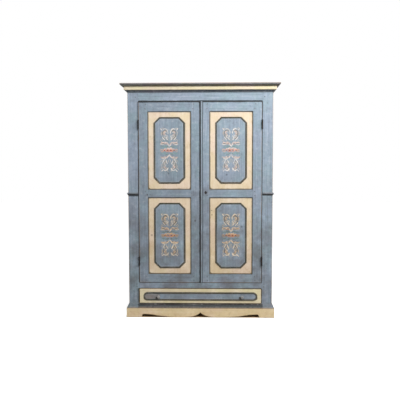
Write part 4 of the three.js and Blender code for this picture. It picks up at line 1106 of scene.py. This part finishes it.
# point(u, v): half an ellipse(v) about the bead's line, carried up the door(u).
def astragalSurface(shape):
    low, high = boxOf("astragal")
    middle, half = (low[0] + high[0]) / 2, (high[0] - low[0]) / 2
    curve = arcPoints((middle, high[1]), (half, high[1] - low[1]), 180, 360, shape["steps"])
    levels = np.linspace(low[2], high[2], shape["stations"])
    surface = closedRings(raised(np.broadcast_to(curve, (len(levels),) + curve.shape), levels[:, None]))
    across = np.abs(np.linspace(-1, 1, len(curve)))
    marks = {"secondCoat": (across > shape["shadedFrom"]) * 1.0, "arris": np.clip(0.8 - across * 2, 0, 1)}
    marks = {mark: np.tile(column, len(levels)) for mark, column in marks.items()}
    finish = agedPaint("astragalPaint", "shadedBlue", "z", 21.4, others=[("secondCoat", "bed")], wear=0.5)
    makePiece("meeting_bead", surface, finish, "astragal", marks=marks)


astragalSurface(astragalShape)

# Hinges, lock and screws


# Each place round a ring: its angle, its number and the number after it.
def ringOf(around):
    step = np.arange(around)
    return np.linspace(0, 2 * np.pi, around, endpoint=False), step, (step + 1) % around


# point(u, v) = (radius(v) cos u, radius(v) sin u, along(v)); the profile starts and ends on the axis.
def latheSurface(profile, around):
    profile = np.asarray(profile, float)
    u, step, after = ringOf(around)
    radius, along = profile[1:-1, 0][:, None], profile[1:-1, 1][:, None]
    rings = raised(np.stack([radius * np.cos(u), radius * np.sin(u)], -1), along).reshape(-1, 3)
    poles = np.array([[0, 0, profile[0, 1]], [0, 0, profile[-1, 1]]])
    count = len(rings)
    firstFan = np.stack([np.full(around, count), after, step], -1)
    lastFan = np.stack([np.full(around, count + 1), count - around + step, count - around + after], -1)
    return np.concatenate([rings, poles]), [gridFaces(len(radius), around, wrapColumns=True), firstFan, lastFan]


# A curve through the points: each stretch is the Catmull-Rom cubic of its four nearest points.
def smoothProfile(points, steps):
    p = np.asarray(points, float)
    p = np.concatenate([2 * p[:1] - p[1:2], p, 2 * p[-1:] - p[-2:-1]])
    t = np.linspace(0, 1, steps, endpoint=False)[None, :, None]
    a, b, c, d = (p[k:len(p) - 3 + k][:, None, :] for k in range(4))
    curve = 0.5 * (2 * b + (c - a) * t + (2 * a - 5 * b + 4 * c - d) * t**2 + (3 * b - a - 3 * c + d) * t**3)
    return np.concatenate([curve.reshape(-1, p.shape[1]), p[-2:-1]])


# point(u, v): the outline(u) drawn in by a rounded edge(v) between its two faces.
def plateSurface(outline, rise, ease):
    middle = outline.mean(0)
    inset = np.array([ease, 0.3 * ease, 0, 0, 0.3 * ease, ease])
    levels = np.array([0, 0.3 * ease, ease, rise - ease, rise - 0.3 * ease, rise])
    share = 1 - inset[:, None] / np.linalg.norm(outline - middle, axis=1)[None, :]
    return closedRings(raised(middle + (outline - middle)[None] * share[..., None], levels[:, None]))


def joinedSurfaces(shapes):
    # several closed surfaces as one, each given as points and blocks of faces
    points, faces, start = [], [], 0
    for shapePoints, shapeFaces in shapes:
        if signedVolume(shapePoints, shapeFaces) < 0:
            shapeFaces = [block[:, ::-1] for block in shapeFaces]
        points.append(shapePoints)
        faces += [block + start for block in shapeFaces]
        start += len(shapePoints)
    return np.concatenate(points), faces


def repeated(points, faces, places):
    # the same closed surface at each place
    shift = (np.arange(len(places)) * len(points))[:, None, None]
    many = (points[None] + np.asarray(places, float)[:, None, :]).reshape(-1, 3)
    return many, [(block[None] + shift).reshape(-1, block.shape[1]) for block in faces]


# Screw heads in mm, and the lock's two screws: how proud, and how far from the case's ends
screwShape = {
    "radius": 3.0, "around": 24, "rings": 5, "dome": 0.6, "slotHalf": 0.5, "slotDepth": 0.22, "shank": 0.4,
    "hingeProud": 0.1, "lockProud": 0.5, "lockFromEnd": 7,
}


# point(u, v): rings about X, domed by the proud height and cut by a slot across the middle.
def screwHead(shape, proud):
    radius, around, count = shape["radius"], shape["around"], shape["rings"]
    ring = np.linspace(0, 1, count + 1)[1:, None]
    u, step, after = ringOf(around)
    y, z = radius * ring * np.cos(u), radius * ring * np.sin(u)
    x = proud * (1 - shape["dome"] * ring**2) - shape["slotDepth"] * (np.abs(y) < shape["slotHalf"])
    rings = np.stack([x, y, z], -1).reshape(-1, 3)
    back = np.stack([np.full(around, -shape["shank"]), y[-1], z[-1]], -1)
    points = np.concatenate([rings, back, [[proud - shape["slotDepth"], 0, 0]]]) * mm
    fan = np.stack([np.full(around, len(points) - 1), step, after], -1)
    return points, [gridFaces(count + 1, around, wrapColumns=True), fan, (count * around + step)[None]]


# Hinges in mm: knuckle, pin and bore, leaf, and its screws' places back from the front and up
hingeShape = {
    "radius": 7.0, "height": 36.0, "gap": 0.15, "ease": 0.5, "bore": 3.8, "pin": 3.5, "pinTop": 27.9, "boreSpare": 0.3,
    "around": 40, "leafNear": 0.2, "leafFar": 2.2, "leafFront": 3.5, "leafBack": 25.5, "leafEase": 0.3,
    "screwPlaces": [(17, 9), (17, 27)],
    "finial": [(7.0, 36.0), (6.2, 36.9), (4.6, 37.5), (4.9, 38.6), (5.0, 39.4), (4.4, 40.9), (2.6, 41.8), (1.0, 42.0)],
}
pinX = halfOpening - 1 * mm
pinY = boxOf("upper_left_hinge_frame_leaf")[0][1] + hingeShape["radius"] * mm


# A turned knuckle with its finial on the pin line, and the leaf let into the board beside it.
def hingeHalf(shape, word, side, place, isUpper, level):
    up, leafWord = (1, "door") if isUpper else (-1, "frame")
    outward = -side if isUpper else side
    radius, height, gap = shape["radius"], shape["height"], shape["gap"]
    core, coreEnd = shape["pin"], -shape["pinTop"]
    if isUpper:
        core, coreEnd = shape["bore"], shape["pinTop"] + shape["boreSpare"]
    inside = [(0, coreEnd), (core, coreEnd), (core, gap), (radius - shape["ease"], gap)]
    outside = [(radius, gap + shape["ease"]), (radius, height / 3), (radius, height * 2 / 3)]
    tip = [(0, shape["finial"][-1][1])]
    profile = np.concatenate([inside, outside, smoothProfile(shape["finial"], 4), tip])
    knuckle = latheSurface(profile * mm * np.array([1, up]), shape["around"])
    y = np.array([shape["leafFront"], shape["leafBack"], shape["leafBack"], shape["leafFront"]])
    z = up * np.array([gap, gap, height, height])
    near, thickness = shape["leafNear"] * mm, (shape["leafFar"] - shape["leafNear"]) * mm
    flat, blocks = plateSurface(np.stack([y, z], -1) * mm, thickness, shape["leafEase"] * mm)
    leaf = np.stack([outward * (near + flat[:, 2]), flat[:, 0], flat[:, 1]], -1)
    screws = [(0, back * mm, up * level * mm) for back, level in shape["screwPlaces"]]
    heads, headBlocks = repeated(*screwHead(screwShape, screwShape["hingeProud"]), screws)
    heads = np.stack([outward * (near - heads[:, 0]), heads[:, 1], heads[:, 2]], -1)
    points, faces = joinedSurfaces([knuckle, (leaf, blocks), (heads, headBlocks)])
    points = points + np.array([side * pinX, pinY, level])
    finish = ironFinish(f"{place}{word.title()}{leafWord.title()}Iron", 0.3 * level + 0.1 * side)
    node = f"{place}_{word}_hinge_{leafWord}_leaf"
    makePiece(f"{place}_{word}_hinge_{leafWord}_half", (points, faces), finish, node, 30)


for side, word in ((-1, "left"), (1, "right")):
    for place in ("upper", "lower"):
        level = boxOf(f"{place}_{word}_hinge_door_leaf")[0][2] - hingeShape["gap"] * mm
        for isUpper in (False, True):
            hingeHalf(hingeShape, word, side, place, isUpper, level)

# Keyhole plate: its hole in mm, and the dome as shares of the way in and of its height
escutcheonShape = {
    "eye": 3.0, "eyeUp": 1.5, "slotHalf": 1.2, "slotDrop": 7.0, "around": 64,
    "turn": 1e-4,  # off the axes, where the slot would divide by 0
    "inward": [0, 0, 0.06, 0.2, 0.45, 0.75, 0.95, 1, 1],
    "rise": [0, 0.55, 0.8, 0.92, 1.0, 1.0, 0.95, 0.75, 0],
}


# point(u, v): from the oval rim(u) over a low dome(v) to the keyhole's own outline.
def escutcheonSurface(shape):
    low, high = boxOf("keyhole_escutcheon")
    middle, half = frontOblong("keyhole_escutcheon")
    count = shape["around"]
    u, step, after = ringOf(count)
    u = u + shape["turn"]
    oval = np.stack([middle[0] + half[0] * np.cos(u), middle[1] + half[1] * np.sin(u)], -1)
    slot = np.minimum(shape["slotDrop"] / np.abs(np.sin(u)), shape["slotHalf"] / np.abs(np.cos(u)))
    reach = np.where(np.sin(u) < 0, np.maximum(shape["eye"], slot), shape["eye"]) * mm
    hole = np.stack([middle[0] + reach * np.cos(u), middle[1] + shape["eyeUp"] * mm + reach * np.sin(u)], -1)
    v = np.array(shape["inward"], float)
    rise = np.array(shape["rise"]) * (high[1] - low[1])
    rings = oval[None] * (1 - v)[:, None, None] + hole[None] * v[:, None, None]
    points = standing(rings, (high[1] - rise)[:, None]).reshape(-1, 3)
    last = (len(v) - 1) * count
    seat = np.stack([step, after, last + after, last + step], -1)
    faces = [gridFaces(len(v), count, wrapColumns=True), seat[:, ::-1]]
    makePiece("keyhole_plate", (points, faces), ironFinish("keyholePlateIron", 3.7), "keyhole_escutcheon", 30)


escutcheonSurface(escutcheonShape)
for node in ("lock_case", "lock_bolt"):
    dressBoard(node, ironFinish(f"{node}Iron", 1.1), boardShape["lockEase"])
print("ironwork made")

# Drawer knobs: radius and distance from the strip in mm, the tenon behind it, and how the marks run outward
knobShape = {
    "points": [
        (7.7, 0), (7.5, 1.6), (7.0, 3.8), (6.9, 6.2), (7.8, 8.6), (10.0, 10.6), (12.4, 12.6),
        (13.7, 15.0), (14.0, 17.4), (13.5, 20.0), (12.0, 22.4), (9.2, 24.4), (5.4, 25.6), (2.2, 25.95),
    ],
    "tenon": [(0, -6), (3.9, -6), (3.9, 0)], "length": 26, "around": 48,
    # umber at the knob's foot is painted shade where it meets the strip; the pale line on its dome is a painted
    # highlight
    "marks": {
        "secondCoat": ([0, 6, 10], [1, 1, 0]), "paleLine": ([16, 22], [0, 0.9]),
        "arris": ([0, 3, 12, 15, 26], [0.9, 0.1, 0, 0.4, 0.6]),
    },
}


# A turned knob: the lathe surface of its profile, laid down to face the front.
def knobSurface(shape, side, word):
    node = f"drawer_knob_{word}"
    low, high = boxOf(node)
    middle, length = (low + high) / 2, shape["length"]
    profile = np.concatenate([shape["tenon"], smoothProfile(shape["points"], 4), [(0, length)]]) * mm
    turned, faces = latheSurface(profile, shape["around"])
    points = np.stack([turned[:, 0] + middle[0], low[1] + length * mm - turned[:, 2], turned[:, 1] + middle[2]], -1)
    marks = {mark: np.interp(turned[:, 2] / mm, places, values) for mark, (places, values) in shape["marks"].items()}
    # painted shade at the foot and a painted highlight on the dome
    umber = [("secondCoat", "umber")]
    finish = agedPaint(f"{word}KnobPaint", "dull", "y", 25.0 + side, others=umber, pale="#aaa5a0", wear=0.6, dirt=0.5)
    makePiece(f"{word}_knob", (points, faces), finish, node, 50, marks)


for side, word in ((-1, "left"), (1, "right")):
    knobSurface(knobShape, side, word)
print("drawer knobs made")

# Painted flowers on the tablets
# The right half's brush strokes: paint, half width, then points across and up from the tablet's middle, all in mm
flowerStrokes = [
    ("ground", 18, [(26, 98), (42, 120), (46, 146), (34, 166), (22, 160)]),
    ("ground", 18, [(28, -88), (42, -110), (44, -136), (30, -154), (20, -146)]),
    ("ground", 14, [(8, 58), (28, 62), (52, 60), (72, 56)]),
    ("ground", 15, [(6, 0), (28, 2), (54, 0), (72, -2)]),
    ("ground", 14, [(8, -52), (28, -60), (52, -62), (72, -58)]),
    ("shade", 5.0, [(30, 92), (46, 108), (56, 126), (58, 148), (48, 166), (32, 172), (18, 162)]),
    ("pale", 4.8, [(36, 86), (50, 100), (61, 117)]),
    ("faint", 5.2, [(64, 124), (68, 146), (61, 166)]),
    ("pale", 6.2, [(52, 176), (36, 184), (20, 175), (11, 156), (13, 139)]),
    ("rose", 5.2, [(28, 134), (40, 138), (47, 150), (40, 160), (28, 156)]),
    ("pale", 3.4, [(22, 128), (34, 124), (44, 128)]),
    ("pale", 3.2, [(30, 104), (40, 114), (46, 124)]),
    ("pale", 4.8, [(60, 170), (67, 178), (74, 188)]),
    ("faint", 3.4, [(46, 180), (56, 185), (64, 192)]),
    ("pale", 5.4, [(14, 88), (23, 102), (24, 122)]),
    ("faint", 3.4, [(5, 80), (11, 94), (7, 110)]),
    ("shade", 4.2, [(8, 50), (26, 60), (50, 58), (72, 54)]),
    ("rose", 6.2, [(4, 46), (14, 60), (26, 68), (40, 71)]),
    ("rose", 6.0, [(32, 56), (46, 65), (60, 66), (76, 60)]),
    ("pale", 4.6, [(42, 49), (60, 50), (79, 50)]),
    ("petal", 3.4, [(18, 50), (28, 55), (38, 52)]),
    ("pale", 5.4, [(0, 33), (7, 45), (18, 57)]),
    ("leaf", 5.8, [(10, 24), (24, 33), (44, 36)]),
    ("leaf", 5.4, [(38, 22), (52, 30), (72, 27)]),
    ("shade", 3.4, [(6, 29), (18, 36), (30, 34)]),
    ("leaf", 5.8, [(10, -21), (24, -29), (44, -31)]),
    ("leaf", 5.4, [(38, -18), (52, -26), (70, -23)]),
    ("shade", 3.4, [(6, -25), (18, -32), (30, -33)]),
    ("bud", 5.8, [(50, 3), (62, 8), (78, 1)]),
    ("bud", 5.0, [(48, -7), (60, -11), (73, -6)]),
    ("petal", 6.4, [(20, -10), (33, 2), (44, 8), (52, -4)]),
    ("petal", 6.4, [(2, -12), (4, 2), (14, 8), (24, -4)]),
    ("rim", 6.0, [(1, 11), (9, 19), (19, 18), (27, 9)]),
    ("rim", 4.8, [(26, 9), (35, 14), (46, 10)]),
    ("heart", 7.0, [(7, -2), (14, 3), (22, -3)]),
    ("heart", 6.0, [(31, 1), (38, 3), (46, -3)]),
    ("heart", 4.4, [(-5, -2), (0, -7), (5, -2)]),
    ("petal", 4.6, [(3, -13), (15, -9), (30, -12)]),
    ("shade", 4.0, [(8, -46), (26, -56), (50, -60), (72, -56)]),
    ("rose", 6.0, [(4, -40), (14, -53), (26, -61), (40, -63)]),
    ("rose", 5.6, [(32, -50), (46, -59), (60, -60), (78, -55)]),
    ("pale", 5.0, [(0, -36), (10, -51), (20, -66)]),
    ("pale", 4.6, [(26, -71), (46, -73), (68, -68)]),
    ("shade", 4.6, [(34, -84), (46, -104), (54, -124), (54, -144), (40, -156)]),
    ("pale", 4.8, [(40, -76), (52, -92), (60, -111)]),
    ("faint", 5.2, [(62, -116), (66, -138), (58, -156)]),
    ("pale", 6.0, [(50, -163), (36, -171), (18, -163), (11, -147)]),
    ("pale", 5.4, [(31, -79), (26, -96), (15, -116)]),
    ("pale", 3.2, [(40, -96), (46, -110), (46, -122)]),
    ("rose", 5.2, [(26, -140), (37, -133), (46, -142), (37, -153), (27, -149)]),
    ("pale", 4.8, [(50, -162), (59, -170), (68, -180)]),
    ("faint", 3.4, [(20, -172), (10, -182)]),
    ("faint", 3.4, [(5, -72), (9, -90), (5, -106)]),
    ("pale", 3.4, [(22, 150), (32, 155), (42, 148)]),
    ("faint", 3.6, [(58, 70), (69, 78), (77, 88)]),
    ("pale", 3.4, [(17, 108), (13, 121), (19, 131)]),
    ("faint", 3.4, [(50, 84), (62, 91), (73, 97)]),
    ("pale", 3.4, [(22, -118), (33, -127), (41, -119)]),
    ("pale", 5.2, [(13, -170), (21, -160), (15, -150)]),
    ("faint", 3.6, [(53, -82), (66, -88), (76, -98)]),
    ("faint", 3.4, [(60, -148), (71, -156), (76, -168)]),
    ("pale", 3.0, [(20, 62), (32, 64), (44, 61)]),
    ("pale", 3.0, [(22, -57), (34, -60), (46, -57)]),
]
flowerPaints = {
    "upper": {
        "ground": "#a09c98", "pale": "#e0d9d2", "faint": "#bbb4ad", "shade": "#83827e", "rose": "#dcc0b4",
        "leaf": "#7d9c99", "bud": "#c9a99b", "petal": "#dba08e", "heart": "#984838", "rim": "#ecd0c2",
    },
    "lower": {
        "ground": "#938a7e", "pale": "#e6d4bb", "faint": "#bfae97", "shade": "#746d64", "rose": "#dcbb99",
        "leaf": "#71857f", "bud": "#b3967b", "petal": "#c68e6c", "heart": "#84452e", "rim": "#dfb98f",
    },
}
strokeShape = {
    # heights in mm; each next stroke lies a lift higher, and every seventh starts again
    "steps": 5, "thickness": 0.28, "thin": {"ground": 0.06, "shade": 0.16}, "lift": 0.012, "layers": 7,
    "seatDepth": 0.12, "field": 3.5, "across": [-1, -0.6, 0, 0.6, 1, 0], "hump": [-1, 0.7, 1, 0.7, -1, -1],
    # how a hand strays: points in mm, widths and tones as shares
    "wobble": 1.3, "steadiness": 0.6, "widths": (0.85, 1.12), "tones": (0.88, 1.08), "firstSeed": 40,
}


# point(u, v): the stroke's curve(u), spread across by its half width times sin(pi u)^0.55 and raised in a low hump(v).
def brushStroke(points, halfWidth, thickness, lift, shape):
    line = smoothProfile(points, shape["steps"])
    u = np.linspace(0.05, 0.95, len(line))
    along = np.gradient(line, axis=0)
    along /= np.linalg.norm(along, axis=1, keepdims=True)
    across = np.stack([-along[:, 1], along[:, 0]], -1)
    width = halfWidth * np.sin(np.pi * u) ** 0.55
    rise = np.array(shape["hump"]) * thickness
    rise = np.where(rise < 0, -shape["seatDepth"], rise + lift)
    flat = line[:, None] + across[:, None] * (width[:, None] * np.array(shape["across"]))[..., None]
    return closedRings(standing(flat, rise))


def flowerFinish(name):
    finish, shader, place = startFinish(name)
    dirtAndShade = use(dirtAndLowShade, Place=place, Amount=0.8)["Mask"]
    under, brushHeight = coatColour(place, coats["blue"], alongGrain["z"], 4.4, dirtAndShade)
    worn = eased(noise(place, 70.0, 4.0, 0.65), 0.46, 0.64)
    colour = laidOver(markOf(place, "strokePaint", "Color"), under, worn, 0.65)
    feed(shader, {
        "Base Color": laidOver(colour, coats["blue"]["dirt"], dirtAndShade, 0.3),
        "Roughness": stretched(worn, 0.1, 0.52),
        "Normal": relief(brushHeight, paintShape["strokeRelief"]),
    })
    return finish


def paintFlowers(side, level, seed, shape):
    node = f"{side}_door_{level}_tablet"
    low, high = boxOf(node)
    middle = (low + high) / 2
    hand = np.random.default_rng(seed)
    paints = {word: np.array(linear(colour)) for word, colour in flowerPaints[level].items()}
    strokes, colours = [], []
    for mirror in (1, -1):
        for word, halfWidth, points in flowerStrokes:
            stray = hand.normal(0, shape["wobble"], (len(points), 2)) * shape["steadiness"]
            halfWidth = halfWidth * hand.uniform(*shape["widths"])
            thickness = shape["thin"].get(word, shape["thickness"])
            lift = len(strokes) % shape["layers"] * shape["lift"]
            grid, faces = brushStroke(np.array(points, float) * (mirror, 1) + stray, halfWidth, thickness, lift, shape)
            strokes.append((grid * mm, faces))
            tone = paints[word] * np.array([1, 1, 1, 0]) * hand.uniform(*shape["tones"]) + (0, 0, 0, 1)
            colours.append(np.broadcast_to(tone, (len(grid), 4)))
    points, faces = joinedSurfaces(strokes)
    points = points * np.array([1, -1, 1]) + (middle[0], high[1] - shape["field"] * mm, middle[2])
    finish, marks = flowerFinish(f"{side}{level.title()}FlowerPaint"), {"strokePaint": np.concatenate(colours)}
    makePiece(f"{side}_{level}_painted_flowers", (points, faces), finish, node, 50, marks, False)


for index, (side, level) in enumerate(doorPanels):
    paintFlowers(side, level, strokeShape["firstSeed"] + index, strokeShape)
print("painted flowers made")

# Pegs in the joints, with a dark ring round each: radius and rise in mm, place from the board's edge and its ends
pegShape = {
    "profile": [(0, -0.6), (4.9, -0.6), (4.9, 0.05), (4.3, 0.12), (4.0, 0.12), (3.9, 0.3), (2.6, 0.55), (0, 0.62)],
    "around": 14, "ringReach": 3.95 * mm, "fromSight": 20 * mm, "astray": 2 * mm, "share": 0.27,
}


def pegPlaces(stile, rails, inward, face):
    low, high = boxOf(stile)
    x = (high[0] if inward > 0 else low[0]) - inward * pegShape["fromSight"]
    shares = (pegShape["share"], 1 - pegShape["share"])
    levels = [foot[2] + share * (top[2] - foot[2]) for foot, top in map(boxOf, rails) for share in shares]
    return [(x + ((index * 5) % 3 - 1) * pegShape["astray"], face, level) for index, level in enumerate(levels)]


# The same small lathe turned to face the front and set at each place.
def setPegs(name, shape, places, paintName, seed, node):
    peg, faces = latheSurface(np.array(shape["profile"], float) * mm, shape["around"])
    ring = (np.hypot(peg[:, 0], peg[:, 1]) > shape["ringReach"]) * 1.0
    surface = repeated(np.stack([peg[:, 0], -peg[:, 2], peg[:, 1]], -1), faces, places)
    finish = agedPaint(paintName, "dull", "z", seed, others=[("secondCoat", "olive")], wear=0.0)
    makePiece(name, surface, finish, node, 45, {"secondCoat": np.tile(ring, len(places))}, False)


frameRails = ["top_rail", "middle_rail"]
framePegs = pegPlaces("left_stile", frameRails, 1, frontY) + pegPlaces("right_stile", frameRails, -1, frontY)
setPegs("frame_pegs", pegShape, framePegs, "framePegPaint", 31.0, "left_stile")
for side, toMiddle in (("left", 1), ("right", -1)):
    rails = [f"{side}_door_{rail}_rail" for rail in ("top", "lock", "bottom")]
    hingeStile, lockStile = f"{side}_door_hinge_stile", f"{side}_door_lock_stile"
    places = pegPlaces(hingeStile, rails, toMiddle, doorLow[1]) + pegPlaces(lockStile, rails, -toMiddle, doorLow[1])
    setPegs(f"{side}_door_pegs", pegShape, places, f"{side}DoorPegPaint", 32.0, hingeStile)

# Screws in the lock
lockLow, lockHigh = boxOf("lock_case")
lockMiddle, fromEnd = (lockLow[0] + lockHigh[0]) / 2, screwShape["lockFromEnd"] * mm
lockPlaces = [(lockMiddle, lockHigh[1], level) for level in (lockLow[2] + fromEnd, lockHigh[2] - fromEnd)]
lockScrew, lockScrewFaces = screwHead(screwShape, screwShape["lockProud"])
lockScrews = repeated(lockScrew[:, [1, 0, 2]], lockScrewFaces, lockPlaces)
makePiece("lock_screws", lockScrews, ironFinish("lockScrewIron", 6.1), "lock_case", 30, standsFor=False)
print("pegs and screws made")
